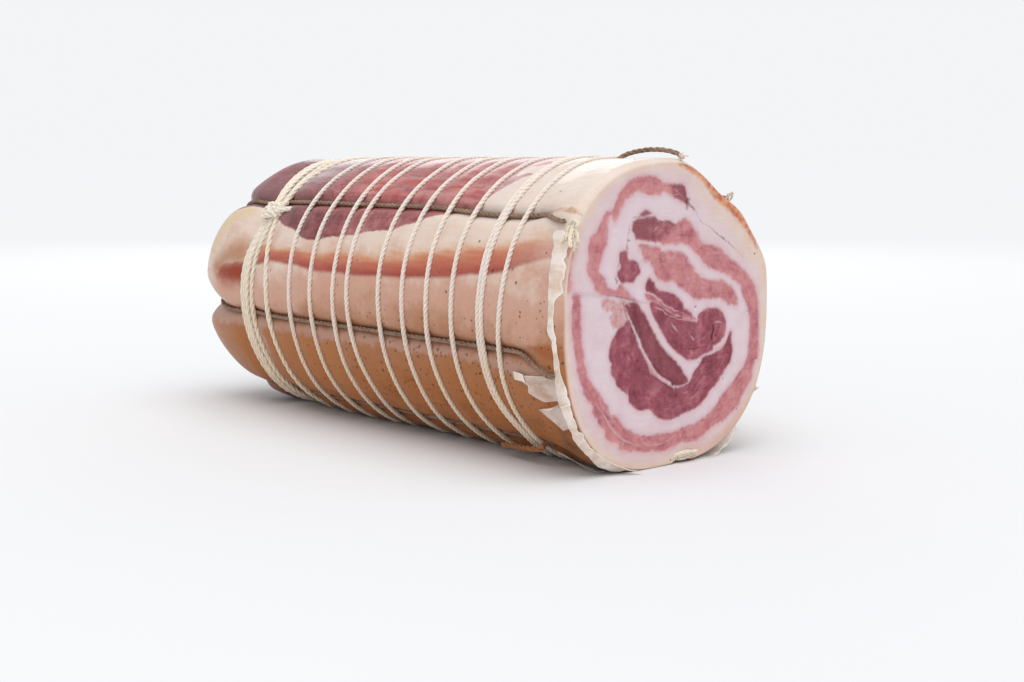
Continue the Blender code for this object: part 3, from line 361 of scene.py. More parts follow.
BAND_UPPER = (
    (-250, 160), (-240, 157), (-230, 158.5), (-222, 159.5), (-210, 158.5), (-200, 159), (-190, 159.5),
    (-180, 160), (-170, 157.5), (-160, 157.5), (-150, 158), (-140, 158.5), (-130, 158), (-120, 156.5),
    (-110, 156.5), (-100, 155), (-90, 153), (-80, 152), (-70, 151.5), (-60, 151), (-50, 150), (-40, 149),
    (-30, 147.5), (-20, 145.5), (-12, 145), (4, 144.5),
)

# Stains on the side, by outline, how softly each fades and how deep it is
STAINS = (
    (((-22, 189.4), (-14, 188.4), (-2, 187.6), (-2, 193), (-8, 192.6), (-16, 191)), 1.5, 0.45),
    (((-30, 138.8), (-14, 139), (-1.5, 139.2), (-1.5, 140.6), (-14, 140.2), (-30, 139.6)), 0.9, 0.1),
    (((-290, 171), (-283, 167), (-274, 163), (-262, 159), (-255, 160), (-255, 170), (-272, 171),
      (-284, 176)), 6, 0.2),
    (((-285, 174), (-277, 169.5), (-266, 168), (-255, 167.5), (-255, 178), (-266, 179.5), (-277, 179)), 6,
      0.9),
    (((-276, 200), (-268, 198), (-260, 204), (-260, 224), (-269, 222), (-275, 213)), 5, 0.1),
    (((-243, 199), (-235, 198), (-231, 201), (-231, 222), (-238, 230), (-242, 214)), 2.6, 0.15),
    (((-223, 197), (-209, 197), (-208, 224), (-220, 226)), 2.6, 0.1),
    (((-204, 200), (-192, 200), (-190, 224), (-202, 224)), 3, 0.1),
    (((-186, 203), (-172, 203), (-170, 222), (-184, 222)), 3.5, 0),
)
YELLOW_PATCH = (
    (-298, 160), (-290, 150), (-278, 143), (-262, 141), (-262, 146), (-276, 150), (-284, 158), (-292, 168),
)
FILM_STREAK = (
    (-252, 194), (-246, 195), (-242, 203), (-242, 211), (-247, 219), (-251, 228), (-257, 229), (-255, 218),
    (-252, 208), (-253, 200),
)
LOW_FILM = (
    (-300, 193.8), (-200, 193.8), (-100, 193.8), (-14, 195), (-12, 199), (-24, 202), (-60, 199.5),
    (-84, 198), (-100, 199.5), (-128, 198.5), (-160, 199), (-176, 200), (-200, 198.5), (-230, 199.5),
    (-262, 199), (-300, 200),
)

# Specks on the side, as (place along the roll, angle, radius)
SIDE_SPECKS = (
    (-46.5, 163.2, 1.1), (-33, 162, 0.9), (-42.5, 164.6, 0.5), (-95, 184, 0.8), (-144, 185, 0.8),
    (-100, 196, 0.9), (-86, 196, 1), (-80, 198, 0.7), (-12, 176, 0.8), (-10.5, 178, 0.6), (-8, 183.5, 0.8),
    (-15, 182, 0.5), (-269, 160, 1), (-165, 187, 0.5), (-61, 199, 0.8), (-27, 181, 0.5), (-24, 172, 0.5),
    (-103, 206, 0.6), (-116, 203, 0.6), (-30, 205, 0.5), (-40, 211, 0.5), (-22, 213, 0.6), (-27, 221, 0.6),
    (-16, 224, 0.6),
)

# Skin along the left half from the top down: angle and how brown it is, which is partly its own colour and
# partly painted shade lower down
BROWN_ANGLES = (90, 140, 152, 170, 180, 189, 194, 204, 214, 235, 250, 270)
BROWN_AND_SHADE_SHARES = (0.02, 0.05, 0.14, 0.26, 0.4, 0.5, 0.58, 0.72, 0.8, 0.88, 0.95, 1.0)
# How wine-coloured each lobe of the far end is
LOBE_WINE = (0.2, 0.5, 0.3, 0.0, 0.3, 0.9, 0.5, 0.1)
# Millimetres of arc for one degree round the roll
SIDE_ARC = 1.22

# Torn casing: (angle at the inner edge, x there, angle at the torn edge, x there)
RIM_CASING = (
    (147, -11.5, 147.5, -5), (149.5, -11, 150, -1.6), (153, -8.6, 153, -0.9), (157, -8.2, 157, -1.6),
    (160, -7.8, 160, -0.6), (164, -7.6, 164, -1.2), (168.5, -7.4, 168.5, -0.8), (171.5, -6.8, 171.5, -3.4),
    (178, -6.8, 178, -4.2), (183, -7.4, 183, -3.6), (186, -4.8, 186, -2.6), (192, -4, 192, -2.2),
    (198, -4.2, 198, -1.6), (206, -5, 206, -0.8), (210, -4.6, 210, -0.4),
)
TAIL_CASING = (
    (209, -3.6, 209, -0.6), (216, -3.2, 216, -0.6), (223, -3.4, 223, -0.4), (230, -2.8, 230, 0),
    (237, -3.4, 237, 0.8), (243, -2.4, 243, 2.6), (247, -0.6, 248, 5.6), (249.5, 1.4, 250.5, 7.4),
)
UPPER_FLAP = (
    (198.5, -3, 200, -29), (200, -3, 202.6, -23), (201.5, -3, 203, -21.5), (203.5, -3, 205.6, -22),
    (205, -3, 207.4, -15), (207, -3, 207.6, -12),
)
LOWER_FLAP = (
    (207.5, -3, 211, -11), (209.5, -3, 211.6, -19.5), (212, -3, 213.2, -15), (214.5, -3, 215.2, -10),
    (217.5, -3, 217.8, -6),
)
UNDER_FLAP = ((235.5, -29, 236.5, -13), (238, -31, 239, -11), (241, -28, 242, -8), (244, -25, 245, -7))
LOWER_FOLD = (
    (282, -4, 282, -3), (286, -7, 286, 0.6), (292, -7, 292, 1), (299, -7, 299, 0.4), (306, -6, 306, -0.6),
    (311, -4, 311, -2.6),
)
FLAP_TIP = ((199, -23.5, 198.4, -29.5), (201.8, -23, 201.2, -29))
RIGHT_CASING = ((-25, -18, -25, -2), (-18, -20, -18, -0.6), (-8, -19, -8, -1.2), (2, -18, 2, -0.8))
# Each sheet: strip, lift at its inner and torn edges, rows, columns, seed, raggedness, whether it is sheer
CASING_SHEETS = {
    "casing_rim": (RIM_CASING, 0.3, 0.35, 10, 150, 1.0, 0.55, False),
    "casing_tail": (TAIL_CASING, 0.9, 0.5, 10, 90, 2.0, 0.7, False),
    "casing_flap_upper": (UPPER_FLAP, 0.7, 2.2, 30, 24, 3.0, 1.0, True),
    "casing_flap_lower": (LOWER_FLAP, 0.7, 1.8, 26, 24, 4.0, 1.0, True),
    "casing_flap_under": (UNDER_FLAP, 1.0, 2.6, 22, 24, 5.0, 0.6, True),
    "casing_right": (RIGHT_CASING, 0.6, 0.8, 20, 60, 6.0, 0.7, True),
    "casing_fold": (LOWER_FOLD, 0.8, 4.2, 12, 60, 7.0, 0.8, True),
    "casing_tip": (FLAP_TIP, 2.4, 3.0, 10, 10, 8.0, 0.0, False),
}

ANGLES = 256
FACE_RINGS = 96
DOME_ROWS = 40
CAMERA_PLACE = (0.617563, -0.499101, 0.139925)
CAMERA_TURN = (83.00665, 0.0, 48.60726)
FLOOR_REACH = 40.0


def colour(red, green, blue):
    """A colour given in 0 to 255 steps as seen, as the linear values that shaders use."""
    seen = [value / 255.0 for value in (red, green, blue)]
    return tuple(v / 12.92 if v <= 0.04045 else ((v + 0.055) / 1.055) ** 2.4 for v in seen)


def tint_setting(name, description, tint):
    return FloatVectorProperty(name=name, description=description, default=tint, size=3, min=0.0, max=1.0,
                               subtype="COLOR")


def length_setting(name, description, value, low, high):
    return FloatProperty(name=name, description=description, default=value, min=low, max=high, unit="LENGTH",
                         precision=5)


def number_setting(name, description, value, low, high):
    return FloatProperty(name=name, description=description, default=value, min=low, max=high)


class RollSettings(bpy.types.PropertyGroup):
    """Sizes and colours of the meat."""

    press: length_setting("String press", "How deep the cross strings press in", 0.0011, 0.0, 0.003)
    lumps: length_setting("Lumps", "Height of the soft unevenness of the side", 0.00035, 0.0, 0.002)
    relief: number_setting("Cut relief", "Share of the cut face's relief that is shown", 1.0, 0.0, 2.0)
    depth: number_setting("Brightness", "Overall brightness of the meat's colours", 0.86, 0.2, 1.2)
    fat: tint_setting("Cut fat", "Colour of the fat where it is cut", colour(240, 218, 224))
    skin: tint_setting("Pale skin", "Colour of the outer fat near the top", colour(243, 226, 213))
    brown: tint_setting("Brown skin", "Colour of the outer fat lower down", colour(178, 109, 58))
    lean_pale: tint_setting("Pale lean", "Colour of the palest lean", colour(229, 166, 162))
    lean_dark: tint_setting("Dark lean", "Colour of the darkest lean", colour(118, 52, 64))


class StringSettings(bpy.types.PropertyGroup):
    """Sizes and colours of the cotton string."""

    thickness: length_setting("Thickness", "Thickness of the cotton string", 0.0021, 0.0005, 0.005)
    plies: IntProperty(name="Plies", description="Strands twisted into the string", default=3, min=2, max=4)
    pitch: length_setting("Twist length", "Length of one whole turn of the twist", 0.008, 0.002, 0.03)
    tint: tint_setting("Cotton", "Colour of the cotton", colour(255, 239, 226))


class TwineSettings(bpy.types.PropertyGroup):
    """Sizes and colours of the brown twine."""

    thickness: length_setting("Thickness", "Thickness of the brown twine", 0.002, 0.0005, 0.006)
    plies: IntProperty(name="Plies", description="Strands twisted into the twine", default=3, min=2, max=4)
    pitch: length_setting("Twist length", "Length of one whole turn of the twist", 0.0105, 0.002, 0.03)
    tint: tint_setting("Twine", "Colour of the twine", colour(186, 154, 132))


class CasingSettings(bpy.types.PropertyGroup):
    """Size and colour of the torn casing."""

    thickness: length_setting("Thickness", "Thickness of the dry casing", 0.00022, 0.0001, 0.001)
    tint: tint_setting("Casing", "Colour of the dry casing", colour(255, 240, 230))


class StageSettings(bpy.types.PropertyGroup):
    """The floor, the lights and the camera."""

    floor: tint_setting("Floor", "Colour of the floor", (0.805, 0.808, 0.818))
    lens: number_setting("Lens", "Focal length in millimetres on a 36 mm sensor", 52.734, 10.0, 200.0)
    room: number_setting("Room light", "Brightness of the soft light from all round", 0.66, 0.0, 5.0)
    key: number_setting("Overhead light", "Strength of the wide light overhead", 1.6, 0.0, 50.0)


# The roll's shape

def bump(angle, centre, spread):
    """A smooth hill of height 1 at centre, for angles in degrees."""
    turn = (angle - centre + 180.0) % 360.0 - 180.0
    return np.exp(-(turn / spread) ** 2)


def smooth_step(low, high, value):
    t = np.clip((value - low) / (high - low), 0.0, 1.0)
    return t * t * (3.0 - 2.0 * t)


def section_radius(angle, x):
    """The roll's radius, squarish at the cut and round on the left where strings hold it."""
    turn = np.radians(angle)
    tied = smooth_step(0.0, TIED_FROM, x) * smooth_step(-0.1, 0.5, -np.cos(turn))
    power = CUT_POWER + (TIED_POWER - CUT_POWER) * tied
    c = np.abs(np.cos(turn)) / HALF_WIDTH
    s = np.abs(np.sin(turn)) / HALF_HEIGHT
    radius = (c ** power + s ** power) ** (-1.0 / power)
    facing = np.cos(np.radians(angle - FLAT_ANGLE))
    flat = FLAT_DISTANCE / np.maximum(facing, 0.4)
    blend = np.maximum(FLAT_BLEND - np.abs(radius - flat), 0.0) / FLAT_BLEND
    joined = np.minimum(radius, flat) - blend * blend * FLAT_BLEND * 0.25
    radius = np.where(facing > 0.4, joined, radius)
    radius = radius + SAG_HEIGHT * bump(angle, SAG_ANGLE, SAG_SPREAD)
    return radius + REST_HEIGHT * bump(angle, REST_ANGLE, REST_SPREAD)


def roll_radius(angle, x):
    """The roll before strings and twines press it in, with its edge and its neck."""
    near = np.maximum(1.0 + x / EDGE_LENGTH, 0.0)
    left = 0.5 - 0.5 * np.cos(np.radians(angle))
    edge = near * near * (EDGE_ROUND_RIGHT + (EDGE_ROUND_LEFT - EDGE_ROUND_RIGHT) * left)
    neck = NECK_DEPTH * np.exp(-((x - NECK_X) / NECK_LENGTH) ** 2)
    bulge = RIM_BULGE * bump(angle, RIM_BULGE_ANGLE, 11.0) * smooth_step(-26.0, -6.0, x)
    return section_radius(angle, x) - neck - edge + bulge


def lumps(angle, x):
    """Soft unevenness of the side, as a share of its height, none at the cut."""
    turn = np.radians(angle)
    wave = 0.5 * np.sin(3.0 * turn + x / 17.0) + 0.4 * np.sin(5.0 * turn - x / 11.0 + 1.0)
    wave = wave + 0.3 * np.sin(x / 6.5 + 2.0 * turn) + 0.25 * np.sin(11.0 * turn + x / 23.0)
    return wave * smooth_step(-2.0, -12.0, x)


def place(x, angle, radius, floor=0.0):
    """Points of the roll in millimetres, no lower than floor."""
    turn = np.radians(angle)
    z = np.maximum(CENTRE_Z + radius * np.sin(turn), floor)
    return np.stack(np.broadcast_arrays(x, radius * np.cos(turn), z), -1).astype(float)


def string_at(string, angle):
    """A cross string's place along the roll at an angle."""
    turn = np.radians(angle)
    x = string[1] + string[2] * np.sin(turn) + string[3] * (1.0 + np.cos(turn))
    for centre, spread, shift in string[4]:
        x = x + shift * bump(angle, centre, spread)
    return x


def string_radius(angle, x, settings):
    """How far out the middle of a cross string lies."""
    roll = bpy.context.scene.pancetta_roll
    outer = roll_radius(angle, x) + lumps(angle, x) * roll.lumps / MM
    return outer - roll.press / MM + settings.thickness / MM / 2.0 - 0.3


def crease_bottom(angle, x):
    """The radius at the bottom of the crease that a twine lies in."""
    outer = place(0.0, angle, roll_radius(angle, x) - 0.2, 1.2)
    radius = np.hypot(outer[..., 1], outer[..., 2] - CENTRE_Z)
    return radius - 1.0 - 2.2


def twine_radius(angle, x):
    """How far out a twine's middle lies: in its crease, or on the surface near the cut."""
    outer = roll_radius(angle, x)
    return outer + (crease_bottom(angle, x) - outer) * crease_fade(angle, x) + TWINE_LIFT


def twine_drift(twine, x):
    """How far one twine has strayed round the roll near the cut, in degrees."""
    return SIDE_DRIFT * smooth_step(-115.0, -55.0, x) if twine == SIDE_TWINE else 0.0


def crease_share(angle, radius, spread, x=-300.0):
    """How far points lie in the nearest twine's crease, from 0 to 1."""
    share = 0.0
    for twine in TWINE_ANGLES:
        turn = (angle - twine - twine_drift(twine, x) + 180.0) % 360.0 - 180.0
        share = np.maximum(share, np.exp(-(np.radians(turn) * radius / spread) ** 2))
    return share


def crease_fade(angle, x):
    """Creases run out before the cut, but for the one that the roll lies on."""
    fade = smooth_step(CREASE_START + CREASE_FADE, CREASE_START, x)
    return np.maximum(fade, smooth_step(0.3, 0.6, bump(angle, BOTTOM_TWINE, 8.0)))


def side_points(angle, x, settings):
    """Points of the side, pressed in by strings and creased by twines."""
    outer = roll_radius(angle, x) + lumps(angle, x) * settings.lumps / MM
    press = 0.0
    wide = 0.0
    for string in STRINGS:
        away = np.abs(x - string_at(string, angle))
        press = np.maximum(press, np.exp(-(away / 1.9) ** 2))
        wide = np.maximum(wide, np.exp(-(away / 6.0) ** 2))
    radius = outer - settings.press / MM * (0.72 * press + 0.28 * wide)
    radius = radius + 0.25 * (1.0 - wide) * smooth_step(-6.0, -20.0, x)
    share = crease_share(angle, outer, CREASE_SPREAD, x) * crease_fade(angle, x)
    radius = radius + (np.minimum(crease_bottom(angle, x), radius) - radius) * share
    return place(x, angle, radius, 2.3 * press)


def lobe_bumps(angle, spread_share=None):
    """A smooth hill for each lobe between two twines."""
    for i, start in enumerate(TWINE_ANGLES):
        width = (TWINE_ANGLES[(i + 1) % len(TWINE_ANGLES)] - start) % 360.0
        yield i, bump(angle, start + width / 2.0, width * spread_share if spread_share else 30.0)


def lobe_length(angle, radius):
    """How far the far end bulges at an angle, evened out towards its middle."""
    total = 0.0
    own = 0.0
    for i, weight in lobe_bumps(angle):
        total = total + weight
        own = own + weight * LOBE_LENGTHS[i]
    return DOME_MEAN + (own / total - DOME_MEAN) * smooth_step(0.0, LOBE_BLEND_RADIUS, radius)


def dome_points(step, angle, lift=None):
    """Points of the far end; lift raises them from the crease's bottom for a twine."""
    start = roll_radius(angle, DOME_START)
    out = np.sin(np.radians(step)) ** (2.0 / DOME_POWER)
    radius = start * np.maximum(np.cos(np.radians(step)), 0.0) ** (2.0 / DOME_POWER)
    x = DOME_START - lobe_length(angle, radius) * out
    x = x + DIMPLE_DEPTH * np.exp(-(radius / DIMPLE_RADIUS) ** 2)
    side_depth = start - crease_bottom(angle, DOME_START)
    bulge = np.sin(np.radians(2.0 * step))
    depth = side_depth + (DOME_CREASE * (1.0 + 0.4 * bump(angle, 190.0, 14.0)) - side_depth) * bulge
    if lift is None:
        wide = CREASE_SPREAD + (DOME_SPREAD * (1.0 + 0.8 * bump(angle, 184.0, 10.0)) - CREASE_SPREAD) * bulge
        depth = depth * crease_share(angle, radius, wide)
        ripple = np.sin(np.radians(2.0 * step)) * 0.5 * np.sin(np.radians(angle * 7.0) + radius / 9.0)
        x = x - ripple
    else:
        depth = depth - lift
    radius = radius - depth * np.cos(np.radians(step))
    x = x + depth * np.sin(np.radians(step))
    return place(x, angle, np.maximum(radius, 0.0))


# Outlines and lines

def smooth_outline(outline, steps=3):
    """A closed outline with rounded corners between its points."""
    points = np.array(outline, float)
    rows = []
    count = len(points)
    for i in range(count):
        a, b, c, d = (points[(i + k) % count] for k in (-1, 0, 1, 2))
        for k in range(steps):
            t = k / steps
            rows.append(0.5 * (2 * b + (c - a) * t + (2 * a - 5 * b + 4 * c - d) * t * t
                               + (3 * b - a - 3 * c + d) * t ** 3))
    return np.array(rows)


def outline_distance(points, outline, steps=3):
    """Distance from each point to a closed outline in millimetres: below 0 inside."""
    corners = smooth_outline(outline, steps)
    best = np.full(len(points), 1e9)
    inside = np.zeros(len(points), bool)
    for a, b in zip(corners, np.roll(corners, -1, axis=0)):
        along = b - a
        size = max(float(along @ along), 1e-9)
        t = np.clip(((points - a) @ along) / size, 0.0, 1.0)
        best = np.minimum(best, ((points - a - t[:, None] * along) ** 2).sum(1))
        crosses = (a[1] > points[:, 1]) != (b[1] > points[:, 1])
        if abs(b[1] - a[1]) > 1e-9:
            where = (b[0] - a[0]) * (points[:, 1] - a[1]) / (b[1] - a[1]) + a[0]
            inside ^= crosses & (points[:, 0] < where)
    return np.sqrt(best) * np.where(inside, -1.0, 1.0)


def line_distance(points, line):
    """Distance from each point to a line that varies in half width: below 0 on it."""
    best = np.full(len(points), 1e9)
    for start, end in zip(line, line[1:]):
        a, b = np.array(start[:2], float), np.array(end[:2], float)
        along = b - a
        t = np.clip(((points - a) @ along) / max(float(along @ along), 1e-9), 0.0, 1.0)
        away = np.sqrt(((points - a - t[:, None] * along) ** 2).sum(1))
        best = np.minimum(best, away - (start[2] + (end[2] - start[2]) * t))
    return best


def lines_distance(points, lines):
    return np.min([line_distance(points, line) for line in lines], axis=0)


# Meshes

def to_model(points):
    """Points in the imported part's frame, in metres."""
    return (np.asarray(points, float) + (FACE_X, MIDDLE_Y, 0.0)) * MM


def show(name, data):
    """A new object in the scene that holds a mesh, a light or a camera."""
    made = bpy.data.objects.new(name, data)
    bpy.context.scene.collection.objects.link(made)
    return made


def mesh_object(name, points, faces, material):
    """A smooth mesh object from points in millimetres."""
    mesh = bpy.data.meshes.new(name)
    mesh.from_pydata(to_model(points).tolist(), [], faces)
    mesh.materials.append(material)
    mesh.shade_smooth()
    return show(name, mesh)


def face_outwards(obj):
    mesh = bmesh.new()
    mesh.from_mesh(obj.data)
    bmesh.ops.recalc_face_normals(mesh, faces=mesh.faces)
    mesh.to_mesh(obj.data)
    mesh.free()


def add_values(obj, name, values):
    """Stores one number for each vertex, for the material to read."""
    layer = obj.data.attributes.new(name, "FLOAT", "POINT")
    layer.data.foreach_set("value", np.asarray(values, np.float32))


def finish_piece(obj, slot, *nodes):
    """Puts a piece on the part's body, in place of the nodes that it stands for, if any."""
    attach(obj, "root")
    if nodes:
        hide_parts(*nodes)


# Nodes for materials and for cords

def fill(tree, socket, value):
    """Gives a socket a value, or another node's output to read."""
    if isinstance(value, bpy.types.NodeSocket):
        tree.links.new(value, socket)
    else:
        socket.default_value = (*value, 1.0) if socket.type == "RGBA" and len(value) == 3 else value


def put(tree, kind, sockets=None, **settings):
    """Adds a node with its settings and sockets."""
    node = tree.nodes.new(kind)
    for key, value in settings.items():
        setattr(node, key, value)
    for key, value in (sockets or {}).items():
        fill(tree, node.inputs[key], value)
    return node


def maths(tree, operation, a, b=0.0, c=0.0, clamp=False):
    return put(tree, "ShaderNodeMath", {0: a, 1: b, 2: c}, operation=operation, use_clamp=clamp).outputs[0]


def vectors(tree, operation, a, other, key=1):
    """Works on a vector and another vector, or on a vector and its Scale."""
    return put(tree, "ShaderNodeVectorMath", {0: a, key: other}, operation=operation).outputs[0]


def spread(tree, value, low, high, out_low=0.0, out_high=1.0):
    """Maps a range of a value smoothly on to another."""
    sockets = {0: value, 1: low, 2: high, 3: out_low, 4: out_high}
    return put(tree, "ShaderNodeMapRange", sockets, interpolation_type="SMOOTHSTEP").outputs[0]


def noise_field(tree, vector, size, detail, **more):
    """Noise with features of a size in millimetres."""
    sockets = {"Vector": vector, "Scale": maths(tree, "DIVIDE", 1.0, size), "Detail": detail, **more}
    return put(tree, "ShaderNodeTexNoise", sockets).outputs[0]


# Effects that materials share, each from a vector and its own numbers

def ragged_mask(tree, given):
    """A distance turned into a mask with a torn, soft edge."""
    grain = noise_field(tree, given["Vector"], given["Grain"], 4.0, Roughness=0.6)
    push = maths(tree, "MULTIPLY_ADD", grain, 2.0, -1.0)
    moved = maths(tree, "MULTIPLY_ADD", push, given["Raggedness"], given["Distance"])
    return spread(tree, moved, given["Softness"], maths(tree, "MULTIPLY", given["Softness"], -1.0))


def pepper_specks(tree, given):
    """Scattered specks, with a density from 0 to 1."""
    size = maths(tree, "DIVIDE", 1.0, given["Cell"])
    cells = put(tree, "ShaderNodeTexVoronoi", {"Vector": given["Vector"], "Scale": size})
    parts = put(tree, "ShaderNodeSeparateColor", {0: cells.outputs["Color"]})
    radius = maths(tree, "MULTIPLY_ADD", parts.outputs[1], given["Radius"], 0.03)
    edge = maths(tree, "SUBTRACT", cells.outputs["Distance"], radius)
    chosen = maths(tree, "LESS_THAN", parts.outputs[0], given["Density"])
    return maths(tree, "MULTIPLY", spread(tree, edge, 0.03, -0.03), chosen)


def marbling(tree, given):
    """Fine wandering veins, here and there."""
    field = noise_field(tree, given["Vector"], given["Size"], 3.0, Roughness=0.55, Distortion=0.6)
    off = maths(tree, "ABSOLUTE", maths(tree, "SUBTRACT", field, 0.5))
    gate = noise_field(tree, given["Vector"], maths(tree, "MULTIPLY", given["Size"], 1.25), 1.0)
    return maths(tree, "MULTIPLY", spread(tree, off, given["Width"], 0.0), spread(tree, gate, 0.48, 0.62))


def knife_marks(tree, given):
    """Height of the marks that a knife leaves across a cut face."""
    squashed = vectors(tree, "MULTIPLY", given["Vector"], (0.09, 0.09, 1.0))
    return noise_field(tree, squashed, given["Spacing"], 3.0)


def film_wrinkles(tree, given):
    """Height of the wrinkles in tight, glossy film."""
    along = vectors(tree, "MULTIPLY", given["Vector"], (0.35, 1.0, 1.0))
    wide = noise_field(tree, along, given["Size"], 2.0, Distortion=0.5)
    fine = noise_field(tree, given["Vector"], maths(tree, "MULTIPLY", given["Size"], 0.25), 3.0)
    return maths(tree, "MULTIPLY_ADD", fine, 0.22, wide)


def fine_fibres(tree, given):
    """Fine fibres, for colour and bump."""
    return noise_field(tree, given["Vector"], given["Size"], 3.0, Roughness=0.6)


# Name of each shared group: what builds it, its output, and its numbers
SHARED_GROUPS = {
    "Ragged mask": (ragged_mask, "Mask", {"Distance": 0.0, "Grain": 3.0, "Raggedness": 0.6, "Softness": 0.4}),
    "Pepper specks": (pepper_specks, "Mask", {"Density": 0.3, "Cell": 4.0, "Radius": 0.12}),
    "Marbling": (marbling, "Mask", {"Size": 6.0, "Width": 0.03}),
    "Knife marks": (knife_marks, "Height", {"Spacing": 3.0}),
    "Film wrinkles": (film_wrinkles, "Height", {"Size": 4.0}),
    "Fibres": (fine_fibres, "Fibre", {"Size": 0.4}),
}


def shared_group(name):
    """A shared group, built the first time that it is asked for."""
    if name in bpy.data.node_groups:
        return bpy.data.node_groups[name]
    build, output, numbers = SHARED_GROUPS[name]
    tree = bpy.data.node_groups.new(name, "ShaderNodeTree")
    tree.interface.new_socket("Vector", in_out="INPUT", socket_type="NodeSocketVector")
    for label, value in numbers.items():
        socket = tree.interface.new_socket(label, in_out="INPUT", socket_type="NodeSocketFloat")
        socket.default_value = value
    tree.interface.new_socket(output, in_out="OUTPUT", socket_type="NodeSocketFloat")
    given = tree.nodes.new("NodeGroupInput").outputs
    tree.links.new(build(tree, given), tree.nodes.new("NodeGroupOutput").inputs[0])
    return tree


class Mixer:
    """Adds the nodes of one material, which reads its object's coordinates in millimetres."""

    def __init__(self, name):
        self.material = bpy.data.materials.new(name)
        self.material.use_nodes = True
        self.tree = self.material.node_tree
        where = put(self.tree, "ShaderNodeTexCoord").outputs["Object"]
        self.mm = vectors(self.tree, "SCALE", where, 1000.0, "Scale")

    def read(self, name):
        """A number stored on the mesh."""
        return put(self.tree, "ShaderNodeAttribute", attribute_name=name).outputs["Fac"]

    def times(self, a, b):
        return maths(self.tree, "MULTIPLY", a, b)

    def add(self, a, b, c, clamp=False):
        """a times b, plus c."""
        return maths(self.tree, "MULTIPLY_ADD", a, b, c, clamp)

    def less(self, a, b):
        return maths(self.tree, "SUBTRACT", a, b)

    def swing(self, value, amount, start):
        """Moves a start up and down with noise whose middle is 0.5."""
        return self.add(self.less(value, 0.5), amount, start)

    def spread(self, value, low, high, out_low=0.0, out_high=1.0):
        return spread(self.tree, value, low, high, out_low, out_high)

    def along(self, share):
        """Coordinates that stretch a pattern along the roll."""
        return vectors(self.tree, "MULTIPLY", self.mm, (share, 1.0, 1.0))

    def grain(self, size, detail=2.0, at=None):
        """Noise with features of a size in millimetres."""
        sockets = {"Vector": self.mm if at is None else at, "Scale": 1.0 / size, "Detail": detail}
        return put(self.tree, "ShaderNodeTexNoise", sockets).outputs[0]

    def over(self, share, below, tint, mode="MIX"):
        """One colour over another by a share."""
        sockets = {0: share, 6: below, 7: tint}
        return put(self.tree, "ShaderNodeMix", sockets, data_type="RGBA", blend_type=mode).outputs[2]

    def between(self, share, a, b):
        """A number between two others by a share."""
        return put(self.tree, "ShaderNodeMix", {0: share, 2: a, 3: b}, data_type="FLOAT").outputs[0]

    def parts(self):
        """The coordinates one by one."""
        return put(self.tree, "ShaderNodeSeparateXYZ", {0: self.mm}).outputs

    def ramp(self, value, *stops):
        """A row of colours along a value; stops are (place, colour)."""
        node = put(self.tree, "ShaderNodeValToRGB", {0: value})
        elements = node.color_ramp.elements
        while len(elements) < len(stops):
            elements.new(0.5)
        for element, (spot, tint) in zip(elements, stops):
            element.position = spot
            element.color = (*tint, 1.0)
        return node.outputs[0]

    def shared(self, name, **numbers):
        """Places a shared group and gives its output."""
        node = put(self.tree, "ShaderNodeGroup", node_tree=shared_group(name))
        for key, value in {"Vector": self.mm, **numbers}.items():
            fill(self.tree, node.inputs[key], value)
        return node.outputs[0]

    def mask(self, name, grain, raggedness, softness):
        """A torn mask from a distance stored on the mesh."""
        return self.shared("Ragged mask", Distance=self.read(name), Grain=grain, Raggedness=raggedness,
                           Softness=softness)

    def bumps(self, strength, distance, height):
        return put(self.tree, "ShaderNodeBump", {
            "Strength": strength, "Distance": distance, "Height": height}).outputs[0]

    def finish(self, sockets):
        """Gives the shader its sockets, and gives back the material."""
        shader = self.tree.nodes["Principled BSDF"]
        for key, value in sockets.items():
            fill(self.tree, shader.inputs[key], value)
        return self.material


# Materials

def fat_colour(mix, settings, side, fine):
    """Fat: cool where it is cut, cream to brown on the skin."""
    patchy = mix.grain(14.0)
    cloudy = mix.grain(9.0, 3.0)
    cut = mix.ramp(
        mix.swing(patchy, 0.5, mix.read("warm")),
        (0.0, settings.fat), (0.3, colour(238, 213, 215)), (0.55, colour(238, 212, 207)),
        (0.8, colour(241, 217, 205)), (1.0, colour(243, 214, 192)))
    cut = mix.over(mix.spread(cloudy, 0.45, 0.7, 0.0, 0.35), cut, colour(240, 229, 233))
    cut = mix.over(mix.spread(cloudy, 0.52, 0.3, 0.0, 0.22), cut, colour(224, 190, 196))
    # Cream to brown skin; the darkest stops, lower on the roll, are partly painted shade
    skin = mix.ramp(
        mix.swing(fine, 0.1, mix.swing(patchy, 0.28, mix.read("brown"))),
        (0.0, settings.skin), (0.14, colour(238, 214, 197)), (0.26, colour(222, 175, 154)),
        (0.37, colour(217, 168, 144)), (0.46, colour(197, 145, 115)), (0.56, colour(184, 124, 88)),
        (0.7, colour(182, 120, 76)), (0.82, settings.brown), (1.0, colour(118, 74, 42)))
    return mix.over(side, cut, skin)


